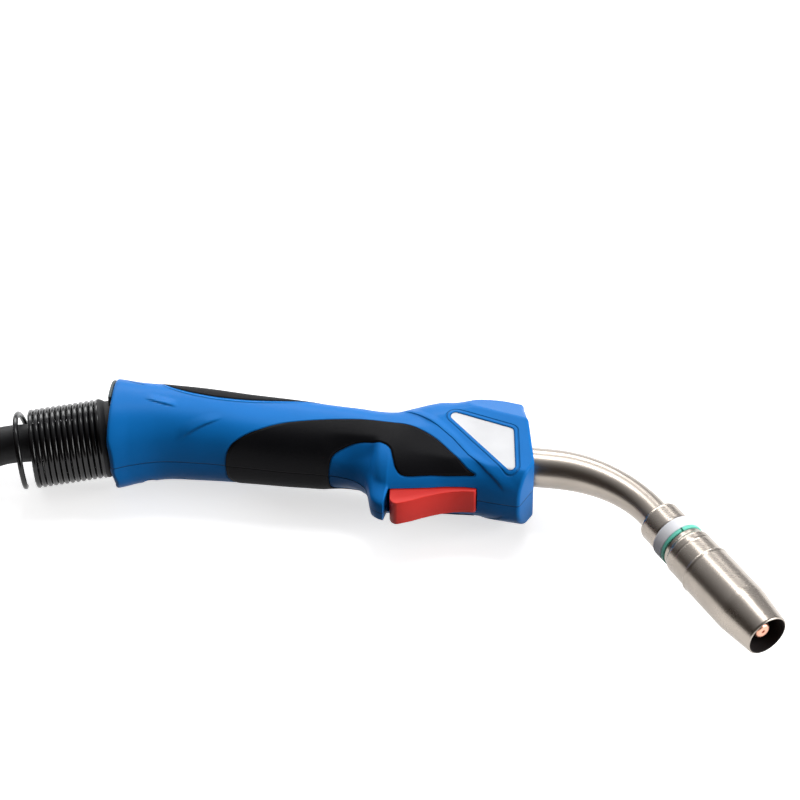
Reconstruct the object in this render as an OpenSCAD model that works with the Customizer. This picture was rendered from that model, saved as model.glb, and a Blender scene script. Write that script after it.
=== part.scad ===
// Air-cooled MIG welding torch with its lead, lying on its side.
// +X runs from the handle's rear to its front, the trigger points to -Y and the label side faces +Z.
// The inner modules draw in handle space: the origin is on the neck's axis where it leaves the handle,
// and z = 0 is the parting plane. on_table() lays that space down on z = 0.

/* [Handle] */
// Length of the handle along the neck axis, from the front face to the rear rim
handle_len = 193; // [185:1:205]
// Height of the spine above the neck axis along the grip
grip_spine = 19.6; // [18.5:0.1:21]
// Depth of the belly below the neck axis along the grip
grip_belly = 16.6; // [16:0.1:18.5]
// Half width of the grip where the fingers close
grip_half = 18.3; // [18:0.1:20]
// Height of the spine at the rear flare
flare_spine = 20.8; // [20.3:0.1:23]
// Depth of the belly at the rear flare
flare_belly = 24.5; // [23:0.1:26]
// Half width of the rear flare
flare_half = 24; // [23:0.1:26]
// Height of the head's ridge above the neck axis
head_spine = 33; // [31:0.1:35]
// Depth of the head's underside below the neck axis
head_belly = 28; // [27:0.1:30]
// Half width of the head at the label face
head_half = 20; // [19.5:0.1:21]
// Lean of the front and rear end faces
end_lean = 10; // [6:0.5:12]
// How far below the neck axis the cable leaves the handle
rear_drop = 4.9; // [4:0.1:6]
// Depth of the soft grip and label recesses
recess_depth = 2; // [1.5:0.1:2.6]
// Gap between an inlay and its recess
inlay_gap = 0.15; // [0.1:0.05:0.3]

/* [Trigger] */
// Width of the trigger across the handle
trigger_w = 14; // [12:0.5:14]
// Length of the trigger along the handle
trigger_len = 38; // [36:0.5:40]
// Depth of the trigger's rear corner below the neck axis
trigger_drop = 37; // [35:0.5:39]
// Clearance between the trigger and its slot
trigger_gap = 0.5; // [0.4:0.05:0.8]
// Diameter of the trigger's hinge pin
pin_d = 3; // [2.5:0.1:3.5]
// Radial running clearance on the hinge pin
pin_gap = 0.06; // [0.03:0.01:0.09]

/* [Neck] */
// Outer diameter of the neck tube in the handle
neck_d = 18; // [17:0.1:18]
// Outer diameter of the neck tube at its front end
neck_end_d = 14.4; // [14:0.1:15]
// Bore of the neck tube
neck_bore = 9.6; // [9:0.1:10]
// Angle of the neck's bend
neck_angle = 50; // [45:1:55]
// Radius of the neck's bend at its middle
neck_bend_r = 62; // [56:1:68]
// Straight length of the neck in front of the handle
neck_lead = 9; // [5:0.5:15]

/* [Nozzle end] */
// Outer diameter of the nickel ferrule
ferrule_d = 20.5; // [20:0.1:21.5]
// Length of the nickel ferrule
ferrule_len = 11; // [9:0.5:13]
// Outer diameter of the insulating ring
insulator_d = 22; // [21.8:0.1:23]
// Length of the insulating ring
insulator_len = 8; // [6:0.5:10]
// Thickness of the split sealing ring
seal_len = 1.2; // [1:0.1:1.6]
// Outer diameter of the nozzle holder
holder_d = 23; // [22.6:0.1:24]
// Length of the nozzle holder's visible band
holder_len = 14.5; // [12:0.5:17]
// Outer diameter of the gas nozzle
nozzle_d = 25; // [24.6:0.1:27]
// Length of the gas nozzle
nozzle_len = 52; // [50:0.5:56]
// Length of the nozzle's tapered front part
nozzle_taper = 21; // [18:0.5:24]
// Outer diameter at the nozzle's mouth
mouth_d = 20; // [19.6:0.1:21]
// Bore at the nozzle's mouth
mouth_bore = 17.6; // [17:0.1:18]
// Diameter of the contact tip
tip_d = 8; // [7.5:0.1:8.5]
// Wire hole of the contact tip
wire_hole = 1.2; // [0.8:0.1:1.6]
// How far the contact tip stands back from the nozzle's mouth
tip_setback = 3; // [2:0.5:5]

/* [Rear end] */
// Outer diameter of the support spring
spring_d = 36.4; // [35.6:0.1:37.5]
// Wire diameter of the support spring
spring_wire = 2.2; // [2:0.05:2.3]
// Distance from one turn of the support spring to the next
spring_pitch = 2.7; // [2.7:0.05:3]
// Close turns of the support spring
spring_turns = 13; // [10:1:16]
// Outer diameter of the sleeve where it shows behind the handle
sleeve_d = 34; // [33.4:0.1:34.6]
// Angle that the sleeve and its spring lean towards the trigger side
sleeve_lean = 14; // [12:0.5:15]
// Angle that the sleeve and its spring sink towards the table
sleeve_sink = 5.6; // [4:0.1:6.5]

/* [Lead] */
// Diameter of the welding lead
lead_d = 18; // [17:0.1:18]
// Radius of the outermost turn of the stored coil
coil_r = 116; // [112:1:120]

/* [Connector] */
// Diameter of the connector's hand nut
nut_d = 50; // [48:0.5:52]
// Length of the connector's hand nut
nut_len = 28; // [24:0.5:32]
// Diameter of the connector's housing
housing_d = 36; // [35:0.5:38]
// Diameter of the brass contact plug
plug_d = 17; // [16:0.1:18]
// Length of the brass contact plug in front of the housing
plug_len = 24; // [20:0.5:28]
// Diameter of the gas and wire nipple
nipple_d = 10; // [9:0.1:11]
// Length of the nipple in front of the brass plug
nipple_len = 13; // [10:0.5:16]
// Travel of the sprung control pins
control_travel = 2.5; // [2:0.1:3]

/* [Hidden] */

$fn = 48;
eps = 0.01;
seat = 0.1;          // radial gap between round pieces that are pushed together
run_gap = 0.35;      // clearance of pieces that turn or slide past each other
far = 120;           // reach of a cutting block, past every edge of the handle
half_sides = 16;     // facets round one half of the handle

// ---- where the part lies --------------------------------------------------------------------
mouth_s = ferrule_len + insulator_len + seal_len + holder_len + nozzle_len;
bend_end = [neck_lead + neck_bend_r * sin(neck_angle), -neck_bend_r * (1 - cos(neck_angle))];
mouth = bend_end + mouth_s * [cos(neck_angle), -sin(neck_angle)];
rear = [-handle_len, -rear_drop];
spring_start = 4.5;
spring_close = spring_turns * spring_pitch;
spring_open = 7.02;      // how far the open turn at the spring's end climbs
spring_rings = 8;        // rings round one turn of the support spring
front_reach = mouth[0] + mouth_d / 2 * sin(neck_angle);
low_reach = mouth[1] - mouth_d / 2 * cos(neck_angle);
rear_reach = min([for (p = support_path()) on_sleeve_x(p)]) - spring_wire / 2;
middle = [(front_reach + rear_reach) / 2, (low_reach + head_spine + 1) / 2];
lie_h = flare_half;

function lay(p) = [p[0] - middle[0], p[1] - middle[1], p[2] + lie_h];
module on_table() {
    translate(lay([0, 0, 0])) children();
}

// Local z runs forward along the straight front of the neck, from the end of its bend.
module on_neck(s = 0) {
    translate([bend_end[0], bend_end[1], 0]) rotate([0, 0, -neck_angle]) rotate([0, 90, 0])
        translate([0, 0, s]) children();
}

// Local z runs backward out of the handle's rear, square to its rear face.
module on_rear(s = 0) {
    translate([rear[0], rear[1], 0]) rotate([0, 0, end_lean]) rotate([0, -90, 0])
        translate([0, 0, s]) children();
}

// Local z runs backward along the sagging axis of the sleeve and its spring.
function on_sleeve_x(p) = rear[0] - p[1] * sin(sleeve_lean)
    - (p[0] * sin(sleeve_sink) + p[2] * cos(sleeve_sink)) * cos(sleeve_lean);
module on_sleeve(s = 0) {
    translate([rear[0], rear[1], 0]) rotate([0, 0, sleeve_lean]) rotate([0, -90 - sleeve_sink, 0])
        translate([0, 0, s]) children();
}

// ---- smooth profiles along the handle ---------------------------------------------------------
// A row is [x, spine height, belly height, half width, squareness].
rear_x = -handle_len;
guard_x = -64.5;
grip_from = rear_x + 62;   // the slim part of the grip
grip_to = -92;
mid = function(t) grip_from * (1 - t) + grip_to * t;
profile = [
    [rear_x - 8, flare_spine + 0.4, -flare_belly - 1, flare_half, 2.3],
    [rear_x + 2, flare_spine, -flare_belly + 1, flare_half, 2.3],
    [rear_x + 11, flare_spine - 0.6, -grip_belly - 4.6, flare_half - 1, 2.3],
    [rear_x + 24, grip_spine + 0.7, -grip_belly - 1.4, flare_half - 2.2, 2.4],
    [rear_x + 42, grip_spine + 0.4, -grip_belly, grip_half + 2.7, 2.5],
    [mid(0), grip_spine, -grip_belly, grip_half + 1.4, 2.5],
    [mid(0.5), grip_spine - 0.1, -grip_belly - 0.4, grip_half + 0.5, 2.5],
    [mid(1), grip_spine - 1.1, -grip_belly - 0.2, grip_half, 2.5],
    [-80, grip_spine - 1.1, -grip_belly - 2.2, grip_half, 2.4],
    [-73, grip_spine - 0.7, -grip_belly - 6.5, grip_half, 2.3],
    [guard_x - 2.5, grip_spine, -trigger_drop + 1.5, grip_half, 2.3],
    [guard_x + 1.4, grip_spine + 0.4, -trigger_drop + 1, grip_half + 0.2, 2.3],
    [guard_x + 2.6, grip_spine + 0.6, -head_belly - 2, grip_half + 0.2, 2.3],
    [-46, grip_spine + 6.4, -head_belly + 0.5, grip_half + 1.2, 2.5],
    [-32, head_spine - 2, -head_belly + 2, head_half + 1, 2.7],
    [-15, head_spine + 1, -head_belly + 1, head_half + 1.5, 2.9],
    [8, head_spine + 1, -head_belly - 1.4, head_half + 1.5, 2.9]];

function span_at(x, i = 0) = i >= len(profile) - 2 || x < profile[i + 1][0] ? i : span_at(x, i + 1);
function rise(i, c) = let (a = max(i - 1, 0), b = min(i + 1, len(profile) - 1))
    (profile[b][c] - profile[a][c]) / (profile[b][0] - profile[a][0]);
function blend_at(x, c) = let (i = span_at(x), h = profile[i + 1][0] - profile[i][0],
        t = (x - profile[i][0]) / h)
    (2 * pow(t, 3) - 3 * t * t + 1) * profile[i][c] + (pow(t, 3) - 2 * t * t + t) * h * rise(i, c)
    + (3 * t * t - 2 * pow(t, 3)) * profile[i + 1][c] + (pow(t, 3) - t * t) * h * rise(i + 1, c);

// One point of the section at x, at angle a from the parting plane, drawn in by inset.
function section_point(x, a, inset) = let (top = blend_at(x, 1) - inset, low = blend_at(x, 2) + inset,
        w = blend_at(x, 3) - inset, n = 2 / blend_at(x, 4))
    [x, (top + low) / 2 + (top - low) / 2 * sign(sin(a)) * pow(abs(sin(a)), n),
        w * pow(max(cos(a), 0), n)];

stations = [for (x = [rear_x - 7, rear_x - 2, rear_x + 3, rear_x + 9, rear_x + 16, rear_x + 26,
        rear_x + 38, rear_x + 50]) x,
    for (i = [0:4]) mid(i / 4),
    for (x = [-86, -80, -76, -73, -70.5, -68.5, -67, guard_x, guard_x + 1.4, guard_x + 2.2, -57, -50,
        -43, -36, -28, -20, -12, -4, 4, 7]) x];

// The +Z half of the handle's outer form as one closed solid with a flat parting face,
// drawn in by inset and kept between two places along the handle.
module half_form(inset = 0, low = -2 * far, high = far) {
    kept = [for (x = stations) if (x > low && x < high) x];
    n = len(kept);
    m = half_sides + 1;
    points = [for (x = kept, j = [0:half_sides])
        let (p = section_point(x, -90 + 180 * j / half_sides, inset))
        j == 0 || j == half_sides ? [p[0], p[1], 0] : p];
    skin = [for (i = [0:n - 2], j = [0:m - 2]) each [
        [i * m + j, i * m + j + 1, (i + 1) * m + j + 1],
        [i * m + j, (i + 1) * m + j + 1, (i + 1) * m + j]]];
    rear_cap = [[for (j = [m - 1:-1:0]) j]];
    front_cap = [[for (j = [0:m - 1]) (n - 1) * m + j]];
    parting = [for (i = [0:n - 2]) [i * m, (i + 1) * m, (i + 1) * m + m - 1, i * m + m - 1]];
    polyhedron(points, concat(skin, rear_cap, front_cap, parting));
}

// ---- the head's flat faces --------------------------------------------------------------------
label_tilt = 4;       // the label face falls away towards the trigger
ridge_slope = 31;     // slope of the spine facets beside the ridge
label_edge = [-19, 14.5];   // a point on the edge between the label face and the spine facet
edge_turn = -12;      // direction of that edge
facet_turn = 25;      // how far the front's lower facet turns from the front face
facet_at = [0.3, -18.2];

module head_cuts() {
    // label face
    translate([0, label_edge[1], head_half]) rotate([label_tilt, 0, 0])
        translate([-58, -far, 0]) cube([far, 2 * far, far]);
    // spine facet
    translate([label_edge[0], label_edge[1], head_half]) rotate([0, 0, edge_turn])
        rotate([-ridge_slope, 0, 0]) translate([-far / 2, -far, 0]) cube([far, 2 * far, far]);
}

module end_cuts() {
    rotate([0, 0, end_lean]) translate([0, -far, -far]) cube([far, 2 * far, 2 * far]);
    translate([rear_x, 0, 0]) rotate([0, 0, end_lean]) translate([-far, -far, -far])
        cube([far, 2 * far, 2 * far]);
    translate([facet_at[0], facet_at[1], 0]) rotate([0, 0, -facet_turn])
        translate([0, -far, -far]) cube([far, 2 * far, 2 * far]);
}

// ---- outlines on the handle's side, seen along Z -----------------------------------------------
function corner(p, i, k) = let (n = len(p), a = p[(i + n - 1) % n], b = p[i], c = p[(i + 1) % n])
    [for (t = [0:k - 1]) let (u = t / k, v = 1 - u)
        v * v * (a + b) / 2 + 2 * u * v * b + u * u * (b + c) / 2];
function rounded(p, k = 4) = [for (i = [0:len(p) - 1]) each corner(p, i, k)];

grip_rear_x = rear_x + 52;
grip_stretch = [rear_x + 27, 2];
spine_stretch = [rear_x + 4, -72];
grip_outline = [[grip_rear_x, -13], [grip_rear_x + 9, -10.5], [grip_rear_x + 17, -6], [-108, -1.5],
    [-90, 1.6], [-74, 3.6], [-60, 2.6], [-50, -1], [-42, -7.5], [-35, -14], [-29, -18.5],
    [-23, -22.8], [-34, -22.5], [-56, -22.5], [-61.5, -21.5], [-62, -13], [-68, -9.6], [-76, -8.8],
    [-84, -10], [-90, -14], [-92.5, -20], [-92, -30], [-112, -32], [grip_rear_x + 4, -32],
    [grip_rear_x - 1, -20]];
spine_rear_x = rear_x + 16;
spine_outline = [[spine_rear_x, 34], [spine_rear_x + 3, 19], [spine_rear_x + 8, 11.5],
    [spine_rear_x + 16, 8.2], [spine_rear_x + 26, 6.8], [spine_rear_x + 38, 6.6], [-126, 8.2],
    [-112, 11.5], [-100, 15.5], [-88, 18.5], [-80, 34]];
label_outline = [[-40.6, 11.6], [-7.1, 3], [-6.6, -20.3]];
label_round = 4.4;

module grip_prism(grow = 0) {
    translate([0, 0, -eps]) linear_extrude(far) offset(delta = grow) polygon(rounded(grip_outline));
}
module spine_prism(grow = 0) {
    translate([0, 0, -eps]) linear_extrude(far) offset(delta = grow) polygon(rounded(spine_outline));
}

// Rounded triangle of the label, as a prism across the label face.
module label_prism(grow = 0, depth = 1.2) {
    translate([0, label_edge[1], head_half]) rotate([label_tilt, 0, 0])
        translate([0, -label_edge[1], -depth]) linear_extrude(far)
            hull() for (p = label_outline) translate(label_inset(p)) circle(label_round / 2 + grow);
}
label_middle = (label_outline[0] + label_outline[1] + label_outline[2]) / 3;
function label_inset(p) = p + (label_middle - p) * 0.17;

// ---- inner layout of the handle ----------------------------------------------------------------
tube_back = -76;       // rear end of the neck tube
block_d = 22;
block_back = -94;
nut_front = -52;
crimp_back = -116;
cable_bore = lead_d + 3;
cable_turn_x = -157;   // where the cable starts to lean inside the handle
cable_lean = 8.4;
lean_reach = 44;       // length of the leaning part of the cable's bore
nut_room = 2.6;        // free width round the nut's corners
open_past = 10;        // how far a bore runs past the face that it opens
sleeve_depth = 10.5;   // how far the sleeve reaches into the handle
slot_front = -23;
slot_back = slot_front - trigger_len - 2 * trigger_gap;
slot_top = -14.5;
pivot = [slot_front - 3.6, -18.6];
switch_x = -46;
switch_size = [13, 5.4, 6];
plunger_x = -40;
screw_at = [[-8, 24], [-84, 13.5], [rear_x + 18, -14.8]];
screw_d = 3;
screw_head_d = 5.6;
screw_head_h = 2.4;
screw_sink = 9;

// Everything that both shells leave free inside.
module inner_space() {
    translate([open_past, 0, 0]) rotate([0, -90, 0])
        cylinder(d = neck_d + 2 * seat, h = open_past - nut_front + eps);
    translate([nut_front, 0, 0]) rotate([0, -90, 0])
        cylinder(d = nut_across + nut_room, h = nut_front - block_back + 1);
    translate([block_back, 0, 0]) rotate([0, -90, 0])
        cylinder(d = cable_bore, h = block_back - cable_turn_x + 3);
    translate([cable_turn_x, 0, 0]) rotate([0, 0, cable_lean]) rotate([0, -90, 0])
        cylinder(d = cable_bore + 1, h = lean_reach);
    trigger_slot();
    // hinge pin and switch posts
    translate([pivot[0], pivot[1], -pin_reach]) cylinder(d = pin_d + 2 * seat, h = 2 * pin_reach);
    for (x = post_x) translate([x, post_y, -post_reach])
        cylinder(d = post_d + 2 * seat, h = 2 * post_reach);
    // seat of the rear collar
    on_rear(-collar_in) collar_plate(collar_in + open_past, seat);
    // wire way from the switch back to the cable
    translate([crimp_back + wire_way[1], slot_top - 1.5, -wire_way[1] / 2])
        cube([slot_back - crimp_back, wire_way[0], wire_way[1]]);
}
module sleeve_space() {
    on_sleeve(-sleeve_depth - 1)
        cylinder(d = sleeve_d + 4 * seat, h = sleeve_depth + 2 * open_past);
}
wire_way = [5, 4];
module trigger_slot() {
    translate([slot_back, -far, -trigger_w / 2 - trigger_gap])
        cube([slot_front - slot_back, far + slot_top, trigger_w + 2 * trigger_gap]);
}
nut_across = 24;
pin_reach = 11.5;
end_gap = 0.3;         // gap at each end of the hinge pin and the switch's posts
post_d = 2;
post_reach = 5;
post_x = [switch_x + 3, switch_x + 10];
post_y = slot_top - 3;
collar_in = 3;
collar_out = 2.2;         // how far the collar's brim stands out of the rear face
collar_margin = 2.4;      // wall of the shells round the collar
brim_margin = 0.5;        // how far the brim stays inside the shells' outline
brim_low = 1;             // lower edge of the brim above the cable's axis

// Outline of the flared end drawn in by a margin, as a flat plate across the cable axis.
module collar_plate(h, grow = 0) {
    inset = collar_margin - grow;
    top = flare_spine - inset;
    low = flare_belly - inset;
    linear_extrude(h) polygon([for (a = [0:9:351])
        [(flare_half - inset) * sign(cos(a)) * pow(abs(cos(a)), 0.87),
            rear_drop + (top - low) / 2 + (top + low) / 2 * sign(sin(a)) * pow(abs(sin(a)), 0.87)]]);
}

module half_shell() {
    difference() {
        half_form();
        head_cuts();
        end_cuts();
        inner_space();
        difference() {
            grip_prism();
            half_form(recess_depth, grip_stretch[0], grip_stretch[1]);
        }
        difference() {
            spine_prism();
            half_form(recess_depth, spine_stretch[0], spine_stretch[1]);
        }
    }
}

module handle_shell_label_side() {
    color("royalblue") difference() {
        half_shell();
        sleeve_space();
        label_prism(inlay_gap);
        for (p = screw_at) translate([p[0], p[1], -eps])
            cylinder(d = screw_d + 2 * seat, h = screw_sink - 1);
    }
}

module handle_shell_table_side() {
    color("royalblue") difference() {
        mirror([0, 0, 1]) half_shell();
        sleeve_space();
        for (p = screw_at) {
            translate([p[0], p[1], -far + eps]) cylinder(d = screw_d + 2 * seat, h = far);
            translate([p[0], p[1], -far - screw_sink + screw_head_h])
                cylinder(d = screw_head_d + 0.6, h = far);
        }
    }
}

module shell_screws() {
    color("dimgray") for (p = screw_at) translate([p[0], p[1], 0]) {
        translate([0, 0, -screw_sink]) difference() {
            cylinder(d = screw_head_d, h = screw_head_h - seat);
            translate([0, 0, -eps]) cylinder(d = 2.6, h = 1.4, $fn = 6);
        }
        translate([0, 0, -screw_sink + screw_head_h - seat - eps])
            cylinder(d = screw_d, h = 2 * screw_sink - screw_head_h - 1.6);
    }
}

module grip_half() {
    intersection() {
        grip_prism(-inlay_gap);
        difference() {
            half_form(0, grip_stretch[0], grip_stretch[1]);
            half_form(recess_depth - inlay_gap, grip_stretch[0], grip_stretch[1]);
            trigger_slot();
        }
    }
}

module spine_half() {
    intersection() {
        spine_prism(-inlay_gap);
        difference() {
            half_form(0, spine_stretch[0], spine_stretch[1]);
            half_form(recess_depth - inlay_gap, spine_stretch[0], spine_stretch[1]);
        }
    }
}

module grip_inlay_label_side() { color("#26252a") grip_half(); }
module grip_inlay_table_side() { color("#26252a") mirror([0, 0, 1]) grip_half(); }
module spine_inlay_label_side() { color("#26252a") spine_half(); }
module spine_inlay_table_side() { color("#26252a") mirror([0, 0, 1]) spine_half(); }

label_plate_h = 1;
module label_plate() {
    color("white") translate([0, label_edge[1], head_half]) rotate([label_tilt, 0, 0])
        translate([0, -label_edge[1], -label_plate_h - seat]) linear_extrude(label_plate_h)
            hull() for (p = label_outline) translate(label_inset(p)) circle(label_round / 2);
}

// ---- rear end ----------------------------------------------------------------------------------
module rear_collar() {
    color("#5f6f72") difference() {
        on_rear(-collar_in + seat) {
            collar_plate(collar_in - 2 * seat);
            // brim over the spine half of the shells' rim
            intersection() {
                union() {
                    collar_plate(collar_in + collar_out - seat);
                    translate([0, 0, collar_in])
                        collar_plate(collar_out - seat, collar_margin - brim_margin);
                }
                translate([-far, brim_low, 0]) cube([2 * far, far, far]);
            }
        }
        on_sleeve(-far / 2) cylinder(d = sleeve_d + 2 * seat, h = far);
    }
}

sleeve_bore = lead_d + 4.6;
sleeve_end = 17;
sleeve_lip = spring_start - 1.2;
module cable_sleeve() {
    core_d = (spring_d - spring_wire) * cos(180 / spring_rings) - spring_wire - 0.6;
    color("#17171a") on_sleeve() rotate_extrude($fn = 64) polygon([
        [sleeve_bore / 2, -sleeve_depth], [sleeve_d / 2 - 1.5, -sleeve_depth],
        [sleeve_d / 2 - 1.5, -sleeve_depth + 4], [sleeve_d / 2, -sleeve_depth + 5],
        [sleeve_d / 2, sleeve_lip - 0.8], [sleeve_d / 2 - 0.8, sleeve_lip], [core_d / 2, sleeve_lip],
        [core_d / 2, sleeve_end - 1.5], [core_d / 2 - 1.5, sleeve_end], [sleeve_bore / 2, sleeve_end]]);
}

// A round wire swept through a list of points; each ring stands square to the path.
function unit(v) = v / norm(v);
function heading(p, i) = unit(p[min(i + 1, len(p) - 1)] - p[max(i - 1, 0)]);
function ring(p, i, r, sides, up) = let (t = heading(p, i), u = unit(cross(up, t)), v = cross(t, u))
    [for (k = [0:sides - 1]) p[i] + r * (cos(360 * k / sides) * u + sin(360 * k / sides) * v)];

module swept(path, radii, sides, up = [0, 0, 1]) {
    n = len(path);
    points = [for (i = [0:n - 1]) each ring(path, i, is_list(radii) ? radii[i] : radii, sides, up)];
    wall = [for (i = [0:n - 2], k = [0:sides - 1]) let (q = (k + 1) % sides) each [
        [i * sides + k, i * sides + q, (i + 1) * sides + q],
        [i * sides + k, (i + 1) * sides + q, (i + 1) * sides + k]]];
    polyhedron(points, concat(wall, [[for (k = [sides - 1:-1:0]) k],
        [for (k = [0:sides - 1]) (n - 1) * sides + k]]));
}

// A round tube swept through a list of points, open at both ends.
module swept_tube(path, radii, bore_r, sides, up = [0, 0, 1]) {
    n = len(path);
    m = n * sides;
    points = concat([for (i = [0:n - 1]) each ring(path, i, radii[i], sides, up)],
        [for (i = [0:n - 1]) each ring(path, i, bore_r, sides, up)]);
    walls = [for (i = [0:n - 2], k = [0:sides - 1])
        let (q = (k + 1) % sides, a = i * sides, b = a + sides) each [
        [a + k, a + q, b + q], [a + k, b + q, b + k],
        [m + a + q, m + a + k, m + b + q], [m + b + q, m + a + k, m + b + k]]];
    ends = [for (k = [0:sides - 1]) let (q = (k + 1) % sides, b = m - sides) each [
        [q, k, m + k], [q, m + k, m + q],
        [b + k, b + q, m + b + q], [b + k, m + b + q, m + b + k]]];
    polyhedron(points, concat(walls, ends));
}

// Least distance between parts of one wire that lie at least apart rings from each other.
function self_gap(path, d, apart) = min([for (i = [0:len(path) - 1 - apart],
    j = [i + apart:len(path) - 1]) norm(path[i] - path[j])]) - d;

function support_path() = let (r = (spring_d - spring_wire) / 2, n = spring_turns * spring_rings)
    [for (i = [0:n]) let (a = -360 * i / spring_rings)
        [r * cos(a), r * sin(a), spring_start + spring_wire / 2 + spring_pitch * i / spring_rings],
    for (i = [1:spring_rings + 2]) let (a = -360 * i / spring_rings, u = i / spring_rings)
        [r * cos(a), r * sin(a), spring_start + spring_wire / 2 + spring_close
            + spring_open * u]];

module support_spring() {
    color("#111113") on_sleeve() swept(support_path(), spring_wire / 2, 6, [0, 0, 1]);
}
echo(support_spring_gap = self_gap(support_path(), spring_wire, spring_rings - 1));

// ---- trigger and switch ------------------------------------------------------------------------
trigger_back = slot_back + trigger_gap;
trigger_front = slot_front - trigger_gap;
trigger_top = -22.6;
spring_x = trigger_back + 6;
spring_cup = 3;
trigger_spring_d = 5.6;

module trigger() {
    finger = [[trigger_back + 3.4, -trigger_drop], [trigger_back + 5.5, -trigger_drop + 0.6],
        [trigger_back + 10, -trigger_drop + 3.2], [trigger_back + 17, -trigger_drop + 7],
        [trigger_back + 24, -trigger_drop + 9.9], [trigger_back + 31, -trigger_drop + 11.5],
        [trigger_front - 0.6, -trigger_drop + 12]];
    color("#e23028") difference() {
        intersection() {
            translate([0, 0, -trigger_w / 2]) linear_extrude(trigger_w) polygon(concat(
                [[trigger_back, trigger_top], [trigger_back + 1.8, -trigger_drop + 1.4]], finger,
                [[trigger_front, -trigger_drop + 13], [trigger_front, pivot[1] + 1.5],
                    [pivot[0] - 4, pivot[1] + 1.5], [pivot[0] - 6, trigger_top]]));
            // rounded finger edges
            translate([trigger_back - 1, 0, 0]) rotate([90, 0, 90])
                linear_extrude(trigger_len + 2) hull() {
                    for (z = [-1, 1]) translate([-trigger_drop + 3, z * (trigger_w / 2 - 3)]) circle(3);
                    translate([-trigger_drop + 12, -trigger_w / 2]) square([24, trigger_w]);
                }
        }
        translate([pivot[0], pivot[1], -trigger_w]) cylinder(d = pin_d + 2 * pin_gap, h = 2 * trigger_w);
        translate([spring_x, trigger_top - spring_cup, 0]) rotate([-90, 0, 0])
            cylinder(d = trigger_spring_d + 1, h = far);
    }
}

module trigger_pin() {
    color("silver") translate([pivot[0], pivot[1], -pin_reach + end_gap])
        cylinder(d = pin_d, h = 2 * (pin_reach - end_gap));
}

trigger_spring_wire = 0.6;
trigger_spring_turns = 5;
trigger_spring_low = trigger_top - spring_cup + 0.2;
trigger_spring_high = slot_top - 0.2;
function trigger_spring_path() = let (r = (trigger_spring_d - trigger_spring_wire) / 2,
        n = trigger_spring_turns * 8, y0 = trigger_spring_low + trigger_spring_wire / 2,
        y1 = trigger_spring_high - trigger_spring_wire / 2)
    [for (i = [0:n]) let (a = 45 * i) [spring_x + r * cos(a), y0 + (y1 - y0) * i / n, r * sin(a)]];
module trigger_spring() {
    color("silver") swept(trigger_spring_path(), trigger_spring_wire / 2, 6, [0, 1, 0]);
}

switch_top = slot_top - 0.2;
plunger_d = 2;
plunger_rest_gap = 0.35;
module switch_body() {
    color("#2b2b2b") difference() {
        translate([switch_x, switch_top - switch_size[1], -switch_size[2] / 2]) cube(switch_size);
        for (x = post_x) translate([x, post_y, -switch_size[2]]) cylinder(d = post_d + 2 * seat, h = far);
        translate([plunger_x, switch_top - switch_size[1] - eps, 0]) rotate([-90, 0, 0])
            cylinder(d = plunger_d + 0.6, h = 4);
    }
    color("#2b2b2b") for (x = post_x) translate([x, post_y, -post_reach + end_gap])
        cylinder(d = post_d, h = 2 * (post_reach - end_gap));
}

module switch_plunger() {
    low = trigger_top + plunger_rest_gap;
    color("firebrick") translate([plunger_x, low, 0]) rotate([-90, 0, 0])
        cylinder(d = plunger_d, h = switch_top - switch_size[1] + 2 - low);
}

terminal = [4.6, 0.6, 3.4];
terminal_drops = [1.2, 4.2];
module switch_terminals() {
    color("goldenrod") for (drop = terminal_drops)
        translate([switch_x - terminal[0], switch_top - drop - terminal[1], -terminal[2] / 2])
            cube(terminal);
}

// ---- power way ---------------------------------------------------------------------------------
block_bore = 7.2;
block_front = nut_front - 8;
block_hex_len = 6;
nut_len_in = 7.2;
hex_d = nut_across / cos(30) * 0.94;   // corners turned down
plug_in_d = 14;        // spigot of the crimp in the block
plug_in_len = 11;
module power_block() {
    color("#b8913c") difference() {
        union() {
            translate([block_front, 0, 0]) rotate([0, -90, 0])
                cylinder(d = block_d, h = block_front - block_back);
            translate([block_front - 1, 0, 0]) rotate([0, -90, 0])
                cylinder(d = hex_d, h = block_hex_len, $fn = 6);
        }
        translate([tube_back - seat, 0, 0]) rotate([0, 90, 0])
            cylinder(d = neck_d + 2 * seat, h = far);
        translate([block_back - 1, 0, 0]) rotate([0, 90, 0]) {
            cylinder(d = plug_in_d + 2 * seat, h = plug_in_len + 2);
            cylinder(d = block_bore, h = far);
        }
    }
}

module block_nut() {
    color("#c9a24e") translate([nut_front - 0.4, 0, 0]) rotate([0, -90, 0]) difference() {
        cylinder(d = hex_d, h = nut_len_in, $fn = 6);
        translate([0, 0, -eps]) cylinder(d = neck_d + 2 * seat, h = far);
    }
}

crimp_bore = 9;
crimp_d = 17;
crimp_band_d = 18;
crimp_bands = [6, 13];
crimp_front = block_back - 0.4;
module cable_crimp() {
    color("#a8752f") difference() {
        union() {
            translate([block_back + plug_in_len, 0, 0]) rotate([0, -90, 0])
                cylinder(d = plug_in_d, h = plug_in_len + 3);
            translate([crimp_front, 0, 0]) rotate([0, -90, 0])
                cylinder(d = crimp_d, h = crimp_front - crimp_back);
            for (back = crimp_bands) translate([block_back - back, 0, 0]) rotate([0, -90, 0])
                cylinder(d = crimp_band_d, h = 3);
        }
        translate([crimp_back - 1, 0, 0]) rotate([0, 90, 0]) cylinder(d = crimp_bore, h = far);
    }
}

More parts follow.
